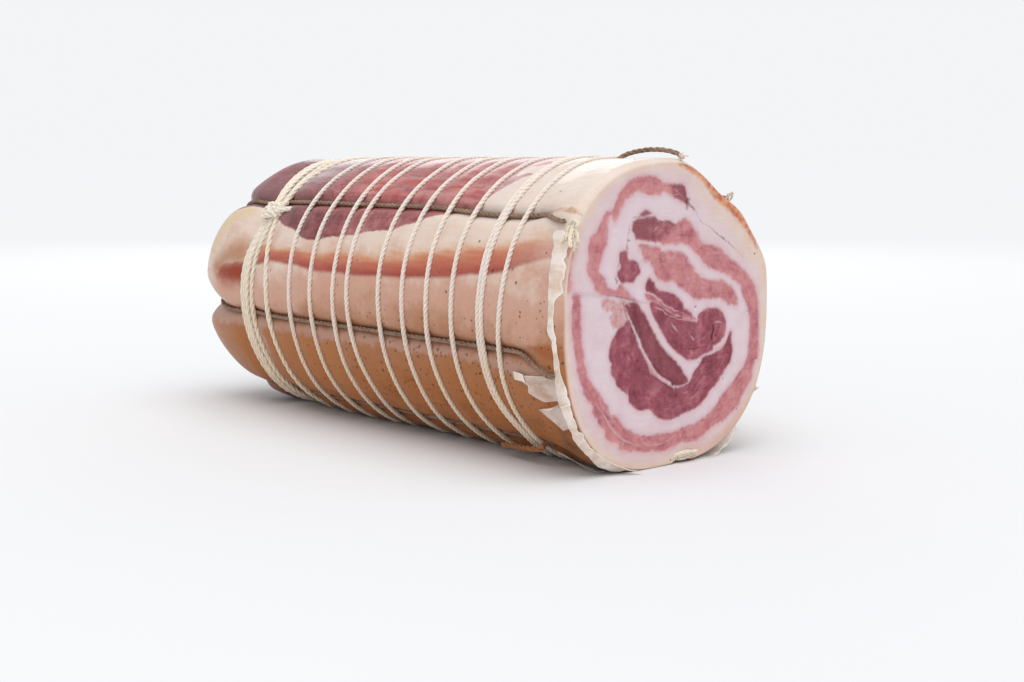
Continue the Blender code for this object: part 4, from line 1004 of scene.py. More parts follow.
def stained_fat(mix, fat, side, fine, streaky, stain):
    """Fat with its wine lobes, stains, orange rim, thin film and the red-orange band."""
    deep = mix.read("stain_deep")
    fat = mix.over(mix.mask("wine", 8.0, 3.0, 4.5), fat, colour(116, 78, 84))
    stain_tint = mix.over(deep, colour(188, 124, 72), colour(156, 36, 4))
    fat = mix.over(mix.times(stain, mix.add(deep, 0.3, 0.66)), fat, stain_tint)
    fat = mix.over(mix.mask("yellow", 5.0, 2.0, 4.0), fat, colour(236, 208, 172))
    fat = mix.over(mix.read("tan"), fat, colour(228, 168, 146))
    rim_orange = mix.over(mix.spread(fine, 0.3, 0.7), colour(240, 164, 116), colour(196, 84, 50))
    fat = mix.over(mix.times(mix.mask("orange", 3.0, 1.2, 1.4), 0.85), fat, rim_orange)
    pale_pink = mix.over(mix.spread(fine, 0.35, 0.65), colour(206, 138, 140), colour(224, 174, 172))
    film_tint = mix.over(side, pale_pink, colour(194, 156, 140))
    fat = mix.over(mix.times(mix.mask("film", 6.0, 5.0, 1.5), mix.add(side, -0.1, 0.82)), fat, film_tint)
    band = mix.swing(streaky, 0.5, mix.swing(fine, 0.14, mix.read("band")))
    band_tint = mix.ramp(
        band, (0.0, colour(232, 196, 166)), (0.3, colour(222, 160, 120)), (0.55, colour(204, 118, 90)),
        (0.8, colour(188, 92, 74)), (1.0, colour(164, 70, 58)))
    band_mask = mix.times(mix.spread(band, 0.0, 0.45), mix.mask("band_edge", 3.0, 0.6, 1.3))
    band_mask = mix.times(band_mask, mix.spread(mix.parts()[0], 112.0, 150.0, 1.0, 0.6))
    return mix.over(mix.times(band_mask, 0.95), fat, band_tint)


def lean_colour(mix, settings, side, fine, streaky, knife):
    """Lean, by how dark it is, with streaks, dusky patches, marbling and cut lines."""
    x, y, z = mix.parts()
    marbled = mix.read("marbled")
    lay = put(mix.tree, "ShaderNodeCombineXYZ", {
        0: mix.read("lean_edge"), 1: mix.add(x, 0.06, mix.times(y, 0.2)), 2: mix.times(z, 0.2)}).outputs[0]
    grown = mix.grain(1.5, 3.0, lay)
    depth = mix.swing(grown, 0.5, mix.swing(fine, 0.36, mix.read("lean_tone")))
    depth = mix.swing(mix.grain(8.0, 3.0), 0.85, depth)
    cut = mix.ramp(
        depth, (0.0, settings.lean_pale), (0.35, colour(213, 138, 142)), (0.65, colour(166, 90, 105)),
        (0.85, colour(145, 71, 84)), (1.0, settings.lean_dark))
    skinned = mix.ramp(
        depth, (0.0, colour(222, 182, 180)), (0.35, colour(203, 136, 134)), (0.65, colour(164, 94, 94)),
        (0.85, colour(141, 75, 76)), (1.0, colour(112, 58, 60)))
    lean = mix.over(side, cut, skinned)
    lean = mix.over(mix.times(mix.spread(streaky, 0.36, 0.6), mix.read("red")), lean, colour(188, 78, 70))
    pale_streaks = mix.spread(mix.grain(5.0, 3.0, mix.along(0.12)), 0.5, 0.66)
    not_dark = mix.spread(mix.read("lean_tone"), 0.64, 0.54)
    pale_streaks = mix.times(mix.times(pale_streaks, mix.times(side, 0.45)), not_dark)
    lean = mix.over(pale_streaks, lean, colour(228, 166, 162))
    dusk_tint = mix.over(side, colour(150, 98, 98), colour(136, 102, 106))
    lean = mix.over(mix.read("dusk"), lean, dusk_tint)
    pale_fibres = mix.times(mix.spread(grown, 0.48, 0.7), mix.spread(mix.grain(5.0, 3.0), 0.44, 0.62))
    lean = mix.over(mix.times(mix.times(pale_fibres, marbled), 0.7), lean, colour(232, 186, 184))
    lean = mix.over(mix.times(mix.spread(mix.grain(6.0, 3.0), 0.5, 0.68), 0.18), lean, colour(146, 64, 72))
    veins = mix.shared("Marbling", Size=9.0, Width=0.02)
    lean = mix.over(mix.times(mix.times(veins, marbled), 0.6), lean, colour(232, 196, 194))
    cut_lines = mix.times(mix.spread(knife, 0.56, 0.7), mix.less(0.18, mix.times(side, 0.18)))
    return mix.over(cut_lines, lean, colour(122, 50, 62))


def meat_material(settings):
    """Fat, lean, skin, membranes, cracks and pepper, told apart by values on the mesh."""
    mix = Mixer("Cured pork belly")
    side = mix.read("side")
    fine = mix.grain(2.4, 4.0)
    streaky = mix.grain(3.4, 3.0, mix.along(0.12))
    knife = mix.shared("Knife marks", Spacing=2.4)
    stain = mix.mask("stain", 4.0, 1.6, mix.read("stain_soft"))
    fat = stained_fat(mix, fat_colour(mix, settings, side, fine), side, fine, streaky, stain)
    lean = lean_colour(mix, settings, side, fine, streaky, knife)
    blush = mix.spread(mix.read("lean_edge"), 3.4, -0.5, 0.0, 0.5)
    fat = mix.over(mix.times(blush, mix.less(1.0, side)), fat, colour(226, 178, 186))
    lean_mask = mix.mask("lean_edge", 3.0, mix.add(mix.read("marbled"), 1.5, 0.8), mix.read("lean_soft"))
    surface = mix.over(lean_mask, fat, lean)
    # Painted shade: the twines' creases are darkened to red-brown
    surface = mix.over(mix.read("crease"), surface, colour(92, 48, 38))
    # Painted highlights: a mottled whitening stands in for the glossy film's sheen
    painted_sheen_share = mix.times(mix.read("glaze"), mix.spread(mix.swing(fine, 0.6, streaky), 0.36, 0.6, 0.5, 1.25))
    surface = mix.over(painted_sheen_share, surface, colour(236, 222, 223))

    # Membranes, seams, cracks and pepper
    membrane = mix.mask("membrane", 1.6, 0.35, 0.34)
    seam = mix.mask("seam", 1.2, 0.5, 0.4)
    crack = mix.mask("crack", 1.4, 0.3, 0.4)
    pepper = mix.shared("Pepper specks", Density=mix.read("pepper"), Cell=2.1, Radius=0.36)
    speck = mix.mask("speck", 1.0, 0.5, 0.5)
    for mark, strength, tint in (
            (membrane, 0.56, colour(230, 188, 190)), (seam, 0.62, colour(118, 76, 56)),
            (crack, 0.85, colour(104, 34, 40)), (pepper, 0.66, colour(80, 42, 22)),
            (speck, 0.72, colour(72, 42, 28))):
        surface = mix.over(mix.times(mark, strength), surface, tint)
    surface = mix.over(1.0, surface, (settings.depth,) * 3, "MULTIPLY")

    # Knife marks on the cut, tight film on the side, and a gloss that dry marks lack
    cut_height = mix.add(mix.grain(0.9, 3.0), 0.4, mix.times(knife, 0.9))
    cut_height = mix.add(crack, -0.6, cut_height)
    cut_height = mix.add(membrane, 0.5, cut_height)
    cut_height = mix.add(lean_mask, -0.45, cut_height)
    film_height = mix.times(mix.shared("Film wrinkles", Size=5.0), 1.7)
    gloss = mix.add(lean_mask, 0.22, mix.add(mix.read("brown"), -0.24, 0.24, clamp=True))
    dry = maths(mix.tree, "MAXIMUM", stain, maths(mix.tree, "MAXIMUM", pepper, speck))
    gloss = mix.times(gloss, mix.less(1.0, dry))
    return mix.finish({
        "Base Color": surface, "Roughness": mix.swing(fine, 0.25, mix.between(side, 0.45, 0.34)),
        "Coat Weight": mix.between(side, 0.06, gloss), "Coat Roughness": 0.14, "Specular IOR Level": 0.12,
        "Subsurface Weight": 0.12, "Subsurface Radius": (1.0, 0.35, 0.22), "Subsurface Scale": 0.004,
        "IOR": 1.42, "Normal": mix.bumps(0.6, 0.0006, mix.between(side, cut_height, film_height)),
    })


def cord_material(name, tint, shadow, fuzz, soft=0.0, low=None):
    """Twisted fibre, darker towards the floor where a low colour is given."""
    mix = Mixer(name)
    fibre = mix.shared("Fibres", Size=0.35)
    patches = mix.grain(9.0)
    share = mix.add(mix.less(patches, 0.5), 0.7, mix.spread(fibre, 0.35, 0.65), clamp=True)
    whole = mix.over(share, shadow, tint)
    if low:
        uneven_height = mix.add(patches, -36.0, mix.parts()[2])
        whole = mix.over(mix.spread(uneven_height, 75.0, 5.0, 0.0, 0.85), whole, low)
    return mix.finish({
        "Base Color": whole, "Roughness": 0.8, "Sheen Weight": soft * 0.4, "Subsurface Weight": soft,
        "Subsurface Radius": (1.0, 0.9, 0.75), "Subsurface Scale": 0.0012, "Specular IOR Level": 0.25,
        "Normal": mix.bumps(0.8, 0.0003, mix.times(fibre, fuzz)),
    })


def casing_material(name, settings, thin):
    """Dry, see-through casing with creamy folds; thin is how much the skin below shows, from 0 to 1."""
    mix = Mixer(name)
    cloud = mix.grain(5.0, 2.0, mix.along(0.4))
    edge = mix.read("edge")
    tint = mix.over(mix.spread(cloud, 0.3, 0.7), colour(250, 226, 204), settings.tint)
    cover = mix.spread(cloud, 0.3, 0.7, 0.58 - 0.42 * thin, 0.82 - 0.42 * thin)
    return mix.finish({
        "Base Color": mix.over(edge, tint, colour(255, 250, 242)),
        "Alpha": mix.add(edge, 0.2, cover, clamp=True),
        "Roughness": 0.28, "Sheen Weight": 0.5, "Coat Weight": 0.3, "Coat Roughness": 0.25,
        "Normal": mix.bumps(0.07, 0.0004, mix.shared("Film wrinkles", Size=2.8)),
    })


def floor_material(tint):
    """Plain, dull and very slightly uneven."""
    mix = Mixer("Pale floor")
    uneven = mix.over(mix.grain(400.0), tint, tuple(value * 0.985 for value in tint))
    return mix.finish({"Base Color": uneven, "Roughness": 0.8, "Specular IOR Level": 0.0})


# The roll

def roll_angles():
    """Angles round the roll, closer together on the side with the string ends."""
    t = np.arange(ANGLES) / ANGLES
    return 360.0 * t + 14.0 * np.sin(2.0 * math.pi * t)


def roll_rows(angles):
    """Places along the roll for each row, which follow the strings' slant."""
    stops = [np.zeros_like(angles)] + [string_at(string, angles) for string in STRINGS]
    stops.append(np.full_like(angles, DOME_START))
    rows = [stops[0]]
    for near, far in zip(stops, stops[1:]):
        count = max(2, round(float(np.mean(near - far)) / 1.25))
        for k in range(1, count + 1):
            t = k / count
            eased = t + (0.5 - 0.5 * math.cos(math.pi * t) - t) * 0.5
            rows.append(near + (far - near) * eased)
    return rows


def face_relief(across, up, rim, values):
    """Height of the cut face above its plane in millimetres."""
    points = np.stack([across, up], -1)
    ledge = np.interp(across, *zip(*LEDGE))
    above = smooth_step(-0.25, 0.35, up - ledge) * np.exp(-np.maximum(up - ledge, 0.0) / 22.0)
    height = 0.75 * above * smooth_step(-10.0, -22.0, across)
    height = height + 0.12 * np.sin(across / 9.0 + 1.0) * np.sin(up / 7.0)
    height = height + 0.06 * np.sin(up / 1.9 + across / 31.0)
    height = height - 0.22 * smooth_step(0.6, -0.8, values["lean_edge"])
    height = height - 0.45 * smooth_step(0.6, -0.4, values["crack"])
    height = height + 0.28 * smooth_step(0.6, -0.3, values["membrane"])
    ridge = line_distance(points, RIDGE)
    height = height + 0.25 * np.exp(-(ridge / 0.7) ** 2)
    return height * smooth_step(0.5, 4.0, rim)


def make_roll(settings):
    """The roll as one closed mesh: its cut face, its side and its far end."""
    angles = roll_angles()
    count = len(angles)
    rows = [side_points(angles, x, settings) for x in roll_rows(angles)]
    rows += [dome_points(90.0 * k / DOME_ROWS, angles) for k in range(1, DOME_ROWS)]
    rim_row = rows[0]
    middle = np.array([[0.0, 0.0, CENTRE_Z]])
    face_rows = [(rim_row - middle) * (1.0, 1.0 - k / FACE_RINGS, 1.0 - k / FACE_RINGS) + middle
                 for k in range(1, FACE_RINGS)]
    points = np.concatenate(rows + face_rows + [middle, dome_points(90.0, angles[:1])])
    side_count = len(rows) * count
    centre = len(points) - 2
    following = [(i + 1) % count for i in range(count)]

    def grid(first, total, flip):
        for a in range(first, first + (total - 1) * count, count):
            for i, j in enumerate(following):
                quad = (a + i, a + j, a + count + j, a + count + i)
                faces.append(quad[::-1] if flip else quad)

    faces = []
    last = side_count - count
    inner = centre - count
    grid(0, len(rows), False)
    grid(side_count, len(face_rows), True)
    for i, j in enumerate(following):
        faces.append((last + i, last + j, centre + 1))
        faces.append((i, side_count + i, side_count + j, j))
        faces.append((inner + j, inner + i, centre))

    on_face = slice(side_count, centre + 1)
    side = side_values(points[:side_count], np.tile(angles, len(rows)))
    face, rim = face_values(points[on_face], angles, rim_row)
    up = points[on_face, 2] - FACE_Z
    points[on_face, 0] += face_relief(points[on_face, 1], up, rim, face) * settings.relief
    edge = face_values(rim_row, angles, rim_row)[0]
    roll = mesh_object("pancetta_roll", points, faces, meat_material(settings))
    for name, of_side in side.items():
        values = np.zeros(len(points))
        values[:side_count] = of_side
        values[on_face] = face[name]
        values[-1] = values[side_count - 1]
        values[:count] = 0.5 if name == "side" else edge[name]
        add_values(roll, name, values)
    face_outwards(roll)
    return roll


def side_values(points, angle):
    """What the material reads on the side and the far end, as numbers for each point or one for all."""
    x = points[:, 0]
    mirrored = (angle <= 90.0) | (angle > 270.0)
    left = np.where(mirrored, (180.0 - angle) % 360.0, angle)
    flat = np.stack([x, angle * SIDE_ARC], -1)
    turned = np.stack([x, left * SIDE_ARC], -1)
    far = smooth_step(-250.0, -262.0, x)

    def on_side(outline, spots=flat):
        return outline_distance(spots, [(p[0], p[1] * SIDE_ARC) for p in outline], 2)

    def hill(value, centre, wide):
        return np.exp(-(((value - centre) / wide) ** 2))

    # The red-orange band, and the stains
    top = on_side(TOP_LEAN)
    lower = np.interp(x, *zip(*BAND_LOWER))
    upper = np.interp(x, *zip(*BAND_UPPER))
    band = np.clip((left - upper) / (lower - upper), -1.0, 1.3) * smooth_step(-252.0, -240.0, x)
    band = band * (1.0 - 0.15 * smooth_step(-40.0, -8.0, x))
    stain = np.full(len(x), 20.0)
    stain_soft = 1.5
    stain_deep = 0.0
    for outline, softness, deep in STAINS:
        away = on_side(outline, turned)
        nearer = away - softness < stain - stain_soft
        stain = np.where(nearer, away, stain)
        stain_soft = np.where(nearer, softness, stain_soft)
        stain_deep = np.where(nearer, deep, stain_deep)
    lobes = sum(LOBE_WINE[i] * weight for i, weight in lobe_bumps(angle, 0.5))
    wine = np.where(far > 0.0, 8.0 - 15.0 * np.clip(lobes, 0.0, 1.2) * far, 12.0)

    # Brown skin, partly painted shade towards the floor, paler by both ends
    brown = np.interp(left, BROWN_ANGLES, BROWN_AND_SHADE_SHARES)
    ends = 0.5 * smooth_step(-62.0, -28.0, x) + smooth_step(-180.0, -215.0, x)
    brown = brown - 0.12 * ends * smooth_step(162.0, 170.0, left) * smooth_step(196.0, 188.0, left)
    brown = brown + 0.07 * smooth_step(-18.0, -10.0, x) * smooth_step(160.0, 170.0, left)
    brown = brown * (1.0 - 0.12 * far)

    # Painted shade in the twines' creases, painted highlights of the glossy film, and specks
    radius = section_radius(angle, x)
    crease = crease_share(angle, radius, 2.3, x) * crease_fade(angle, x) * smooth_step(-300.0, -285.0, x)
    # Painted highlights for the glossy film: whiter near the top, along one streak and on one spot
    high = smooth_step(60.0, 85.0, angle)
    glaze = 0.3 * smooth_step(105.0, 94.0, angle) * high * smooth_step(3.0, -3.0, top)
    streak = hill(x, -226.0, 20.0) * smooth_step(135.0, 118.0, angle) * high
    sheen_spot = hill(angle, 123.0, 9.0) * hill(x, -65.0, 9.0)
    glaze = np.maximum(np.maximum(glaze, 0.5 * streak) * (1.0 - far), 0.5 * sheen_spot)
    pepper = 0.012 + 0.6 * hill(left, 214.0, 22.0) * smooth_step(-230.0, -120.0, x)
    pepper = pepper + 0.12 * smooth_step(-60.0, -20.0, x) * smooth_step(160.0, 172.0, left)
    speck = 20.0
    for spot_x, spot_angle, size in SIDE_SPECKS:
        speck = np.minimum(speck, np.hypot(x - spot_x, (angle - spot_angle) * SIDE_ARC) - size)

    # Lean on top of the roll
    tone = 0.5 + 0.16 * smooth_step(136.0, 139.0, angle) + 0.22 * smooth_step(-150.0, -215.0, x)
    tone = tone - 0.04 * smooth_step(112.0, 98.0, angle)
    warm_spot = hill(angle, 116.0, 10.0) * hill(x, -272.0, 12.0)
    red = np.maximum(0.95 * hill(angle, 126.0, 10.0) * smooth_step(-215.0, -170.0, x), 0.75 * warm_spot)
    dusk = 0.45 * smooth_step(-190.0, -240.0, x) + 0.2 * smooth_step(112.0, 98.0, angle) + 0.35 * far
    return {
        "side": 1.0, "warm": 0.5, "brown": brown, "wine": wine, "stain": stain, "stain_soft": stain_soft,
        "stain_deep": stain_deep, "yellow": on_side(YELLOW_PATCH, turned), "orange": FAR_OFF, "tan": 0.0,
        "film": np.minimum(on_side(FILM_STREAK), on_side(LOW_FILM) + 0.8), "band": band,
        "band_edge": (left - lower) * SIDE_ARC, "crease": 0.6 * crease, "glaze": glaze, "lean_tone": tone,
        "red": red, "dusk": dusk * (top < 4.0) * (1.0 - 0.8 * warm_spot),
        "marbled": np.where(top < 3.0, 0.12, 0.0) * (1.0 - far), "lean_edge": top, "lean_soft": 0.7,
        "membrane": FAR_OFF, "seam": FAR_OFF, "crack": FAR_OFF, "pepper": pepper, "speck": speck,
    }


def face_values(points, angles, rim_row):
    """What the material reads on the cut face, like side_values, and how far in from the rim it is."""
    across = points[:, 1]
    up = points[:, 2] - FACE_Z
    spots = np.stack([across, up], -1)
    lean = 1e9
    weights = 1e-9
    tone = 0.0
    dusk = 0.0
    for depth, dusky, outline in FACE_LEAN.values():
        away = outline_distance(spots, outline)
        weight = np.exp(-np.clip(away + 2.0, 0.0, 60.0) / 1.2)
        lean = np.minimum(lean, away)
        weights = weights + weight
        tone = tone + weight * depth
        dusk = dusk + weight * dusky
    patch = outline_distance(spots, DUSKY_PATCH)
    tip = smooth_step(2.0, -1.0, outline_distance(spots, DARK_TIP))
    inner = smooth_step(2.5, -1.5, patch)
    beige = smooth_step(3.0, -3.0, outline_distance(spots, DUSKY_MIDDLE))
    dusk = np.maximum(dusk / weights, np.maximum(0.5 * inner, 0.5 * tip)) * (1.0 - 0.5 * beige)
    tone = tone / weights + 0.14 * inner + 0.3 * tip + 0.12 * smooth_step(5.0, -2.0, patch)
    orange = [(a * ORANGE_REACH, b * ORANGE_REACH, wide) for a, b, wide in ORANGE_RIM]
    around = np.degrees(np.arctan2(points[:, 2] - CENTRE_Z, across)) % 360.0
    edge = np.hypot(rim_row[:, 1], rim_row[:, 2] - CENTRE_Z)
    full = np.interp(around, np.append(angles, angles[0] + 360.0), np.append(edge, edge[0]))
    rim = full - np.hypot(across, points[:, 2] - CENTRE_Z)
    right_side = bump(around, 20.0, 45.0)
    warm = 0.62 * smooth_step(4.5 + 4.5 * right_side, 0.0, rim) + 0.22 * smooth_step(13.0, 8.0, rim)
    warm = warm + 0.3 * smooth_step(0.0, 30.0, across) * smooth_step(5.0, 30.0, up)
    warm = warm + 0.1 * smooth_step(-46.0, -60.0, up) - 0.08 * smooth_step(46.0, 60.0, up)
    warm = warm + 0.2 * smooth_step(17.0, 9.0, rim) * (1.0 - bump(around, 176.0, 42.0))
    return {
        "side": 0.0, "warm": warm, "brown": 0.13, "wine": 12.0, "stain": FAR_OFF, "stain_soft": 2.0,
        "stain_deep": 0.2, "yellow": 20.0, "orange": line_distance(spots, orange) + 0.2,
        "tan": 0.55 * smooth_step(6.5, 1.5, rim) * bump(around, 304.0, 18.0),
        "film": outline_distance(spots, PALE_PATCH), "band": -0.5, "band_edge": FAR_OFF, "crease": 0.0,
        "glaze": 0.0, "lean_tone": tone, "red": 0.0, "dusk": dusk,
        "marbled": np.clip(1.1 - 1.6 * tone, 0.12, 1.0), "lean_edge": lean,
        "lean_soft": 0.85 + 0.5 * np.clip(0.6 - tone, 0.0, 1.0), "membrane": lines_distance(spots, MEMBRANES),
        "seam": lines_distance(spots, SEAMS), "crack": lines_distance(spots, CRACKS), "pepper": 0.006,
        "speck": FAR_OFF,
    }, rim


# Cords

CORD_INPUTS = (
    ("Geometry", "Geometry", None), ("Plies", "Int", 3), ("Ply Radius", "Float", 0.0005),
    ("Lay Radius", "Float", 0.0006), ("Pitch", "Float", 0.007), ("Spacing", "Float", 0.0007),
    ("Sides", "Int", 5), ("Unevenness", "Float", 0.2), ("Seed", "Float", 0.0), ("Material", "Material", None),
)


def cord_tree():
    """Geometry nodes that lay twisted plies along the edges of a path."""
    name = "Twisted cord"
    if name in bpy.data.node_groups:
        return bpy.data.node_groups[name]
    tree = bpy.data.node_groups.new(name, "GeometryNodeTree")
    for label, kind, value in CORD_INPUTS:
        socket = tree.interface.new_socket(label, in_out="INPUT", socket_type="NodeSocket" + kind)
        if value is not None:
            socket.default_value = value
    tree.interface.new_socket("Geometry", in_out="OUTPUT", socket_type="NodeSocketGeometry")
    given = tree.nodes.new("NodeGroupInput").outputs
    made = tree.nodes.new("NodeGroupOutput").inputs
    curve = put(tree, "GeometryNodeMeshToCurve", {"Mesh": given["Geometry"]}).outputs[0]
    spaced = {"Curve": curve, "Length": given["Spacing"]}
    even = put(tree, "GeometryNodeResampleCurve", spaced, mode="LENGTH").outputs[0]
    straight = put(tree, "GeometryNodeSetCurveNormal", {"Curve": even}).outputs[0]
    amount = {"Geometry": straight, "Amount": given["Plies"]}
    copies = put(tree, "GeometryNodeDuplicateElements", amount, domain="SPLINE").outputs
    along = put(tree, "GeometryNodeSplineParameter").outputs["Factor"]
    length = put(tree, "GeometryNodeSplineLength").outputs["Length"]
    turns = maths(tree, "ROUND", maths(tree, "DIVIDE", length, given["Pitch"]))
    part = maths(tree, "DIVIDE", copies["Duplicate Index"], given["Plies"])
    turn = maths(tree, "MULTIPLY", maths(tree, "MULTIPLY_ADD", along, turns, part), 2.0 * math.pi)
    normal = put(tree, "GeometryNodeInputNormal").outputs[0]
    tangent = put(tree, "GeometryNodeInputTangent").outputs[0]
    side = vectors(tree, "CROSS_PRODUCT", tangent, normal)
    out_part = vectors(tree, "SCALE", normal, maths(tree, "COSINE", turn), "Scale")
    side_part = vectors(tree, "SCALE", side, maths(tree, "SINE", turn), "Scale")
    shift = vectors(tree, "SCALE", vectors(tree, "ADD", out_part, side_part), given["Lay Radius"], "Scale")
    laid = put(tree, "GeometryNodeSetPosition", {"Geometry": copies["Geometry"], "Offset": shift}).outputs[0]
    circle = {"Resolution": given["Sides"], "Radius": given["Ply Radius"]}
    ring = put(tree, "GeometryNodeCurvePrimitiveCircle", circle).outputs[0]
    wobble_of = {"W": given["Seed"], "Scale": 260.0, "Detail": 2.0}
    wobble = put(tree, "ShaderNodeTexNoise", wobble_of, noise_dimensions="4D").outputs[0]
    swing = maths(tree, "SUBTRACT", wobble, 0.5)
    scale = maths(tree, "MULTIPLY_ADD", swing, maths(tree, "MULTIPLY", given["Unevenness"], 2.0), 1.0)
    tube = put(tree, "GeometryNodeCurveToMesh", {
        "Curve": laid, "Profile Curve": ring, "Scale": scale, "Fill Caps": True}).outputs[0]
    soft = put(tree, "GeometryNodeSetShadeSmooth", {"Geometry": tube}).outputs[0]
    real = put(tree, "GeometryNodeRealizeInstances", {"Geometry": soft}).outputs[0]
    coloured = put(tree, "GeometryNodeSetMaterial", {"Geometry": real, "Material": given["Material"]})
    tree.links.new(coloured.outputs[0], made[0])
    return tree


def lay_cord(name, paths, values):
    """A plain mesh of twisted cord along paths of (points, closed), in millimetres."""
    points = []
    edges = []
    for path, closed in paths:
        first = len(points)
        points += [tuple(point) for point in to_model(path)]
        edges += [(first + i, first + i + 1) for i in range(len(path) - 1)]
        if closed:
            edges.append((first + len(path) - 1, first))
    guide = bpy.data.meshes.new(name + "_path")
    guide.from_pydata(points, edges, [])
    holder = show(name + "_path", guide)
    modifier = holder.modifiers.new("cord", "NODES")
    tree = cord_tree()
    modifier.node_group = tree
    sockets = {item.name: item.identifier for item in tree.interface.items_tree if item.in_out == "INPUT"}
    for label, value in values.items():
        modifier[sockets[label]] = value
    depsgraph = bpy.context.evaluated_depsgraph_get()
    mesh = bpy.data.meshes.new_from_object(holder.evaluated_get(depsgraph), depsgraph=depsgraph)
    holder.modifiers.clear()
    bpy.data.objects.remove(holder)
    bpy.data.meshes.remove(guide)
    if not mesh.polygons:
        raise RuntimeError("no cord was made for " + name)
    mesh.name = name
    return show(name, mesh)


def cord_values(thickness, plies, pitch, material, seed=0.0, spacing=0.0007, sides=6, unevenness=0.16,
                full=1.42, groove=1.0):
    """The cord's inputs for a whole thickness in metres; a small groove makes it smoother."""
    lay = {2: 1.0, 3: 1.155, 4: 1.414}[plies]
    ply = thickness / 2.0 / (1.0 + lay)
    full += lay * (1.0 - groove)
    lay *= groove
    return {
        "Plies": plies, "Ply Radius": ply * full, "Lay Radius": ply * lay, "Pitch": pitch, "Spacing": spacing,
        "Sides": sides, "Unevenness": unevenness, "Seed": seed, "Material": material,
    }


def string_path(string, settings):
    """A cross string's path round the roll."""
    angles = np.arange(0.0, 360.0, 1.5)
    x = string_at(string, angles)
    radius = string_radius(angles, x, settings)
    return place(x, angles, radius, settings.thickness / MM * 0.7 + 0.3)


def knot_frame():
    """Middle and directions of the knot: along the roll, around it and outwards."""
    scene = bpy.context.scene
    radius = float(string_radius(KNOT_ANGLE, KNOT_X, scene.pancetta_string))
    centre = place(KNOT_X, KNOT_ANGLE, radius)
    turn = math.radians(KNOT_ANGLE)
    out = np.array([0.0, math.cos(turn), math.sin(turn)])
    around = np.array([0.0, -math.sin(turn), math.cos(turn)])
    return centre, np.array([1.0, 0.0, 0.0]), around, out


def knot_paths():
    """The turns of the knot over the strands, its two ends and a crossing loop."""
    centre, along, around, out = knot_frame()

    def at(a, b, h):
        return centre + a * along + b * around + h * out

    paths = []
    for shift, lean, reach in ((-3.6, 0.6, 7.0), (-1.2, 0.1, 8.0), (1.3, -0.3, 8.2), (3.7, -0.8, 6.8)):
        loop = []
        for k in range(24):
            t = 2.0 * math.pi * k / 24
            loop.append(at(reach * math.cos(t), shift + lean * math.cos(t), 1.5 + 2.0 * math.sin(t)))
        paths.append((loop, True))
    cross = [at(-6, -4.5, 1.2), at(-3, -2, 3.6), at(0.5, 0.8, 4.4), at(4, 2.6, 3.6), at(7.5, 3.2, 2.2)]
    paths.append((cross, False))
    return paths, at


def twine_run(angle):
    """A twine's path along the side, from its free end to the far end."""
    path = []
    if angle == TOP_TWINE:
        path += [np.array(point) for point in reversed(TOP_TWINE_ARCH)]
        start = -36.0
    else:
        start, turn, lift = TWINE_ENDS[angle]
        for x in np.arange(start, -34.0, -2.0):
            share = float(smooth_step(-30.0, start, x)) if start > -30.0 else 1.0
            turned = angle + float(twine_drift(angle, x)) + turn * share
            path.append(place(x, turned, float(twine_radius(turned, x)) + lift * share, 1.6))
        start = min(start, -35.0)
    for x in np.arange(start, DOME_START + 1.0, -3.0):
        turned = angle + float(twine_drift(angle, x))
        path.append(place(x, turned, float(twine_radius(turned, x)), 1.6))
    for step in np.arange(0.0, 76.0, 4.0):
        lift = TWINE_LIFT + math.sin(math.radians(2.0 * step))
        path.append(dome_points(step, angle, lift))
    return path


def loop_path(number, angles):
    """A twine that runs along the roll, over the far end and back along the other side."""
    stack = number * TWINE_STACK
    middle = np.mean([dome_points(90.0, angle, TWINE_LIFT) for angle in angles], axis=0)
    top = middle - (stack, 0.0, 0.0)
    runs = []
    for angle in angles:
        run = [np.array(point, float) for point in twine_run(angle)]
        for back, share in ((1, 0.8), (2, 0.55), (3, 0.3), (4, 0.12)):
            run[-back] = run[-back] - (stack * share, 0.0, 0.0)
        runs.append(run)
    return runs[0] + [top] + runs[1][::-1]


def wander(a, b, c):
    """A steady, random-looking shift."""
    return np.array([noise.noise(Vector((a + 31.4 * i, b - 17.2 * i, c + 5.9 * i))) for i in range(3)])


def curl_paths(centre, wide, high, count, seed):
    """Small loose loops of fibre round a point; wide and high are half their size."""
    paths = []
    for k in range(count):
        shift = wander(seed + 0.37, k * 1.3 + 0.2, 2.4) * 1.2
        grown = 0.75 + 0.5 * (k / max(count - 1, 1))
        loop = []
        for step in range(14):
            t = 2.0 * math.pi * step / 14
            curl = wander(math.cos(t) + k, math.sin(t), seed + 0.5) * 0.9
            loop.append(np.array(centre) + shift + curl + np.array(wide) * math.cos(t) * grown
                        + np.array(high) * math.sin(t) * grown)
        paths.append((loop, True))
    return paths


def tuft_paths(root, direction, spread_mm, length, count, seed):
    """Loose fibres that leave a cord's end."""
    paths = []
    base = np.array(root, float)
    ahead = np.array(direction, float) / np.linalg.norm(direction)
    for k in range(count):
        side = wander(seed * 7.3 + k * 1.7, k * 0.91, seed + 0.5) * 2.0
        points = []
        for step in range(6):
            t = step / 5.0
            curl = wander(k * 2.1 + t * 1.4, seed + t, k * 0.37)
            points.append(base + ahead * length * t * (0.7 + 0.5 * abs(side[0])) + side * spread_mm * t
                          + curl * spread_mm * 0.6 * t)
        paths.append((points, False))
    return paths


# Sheets

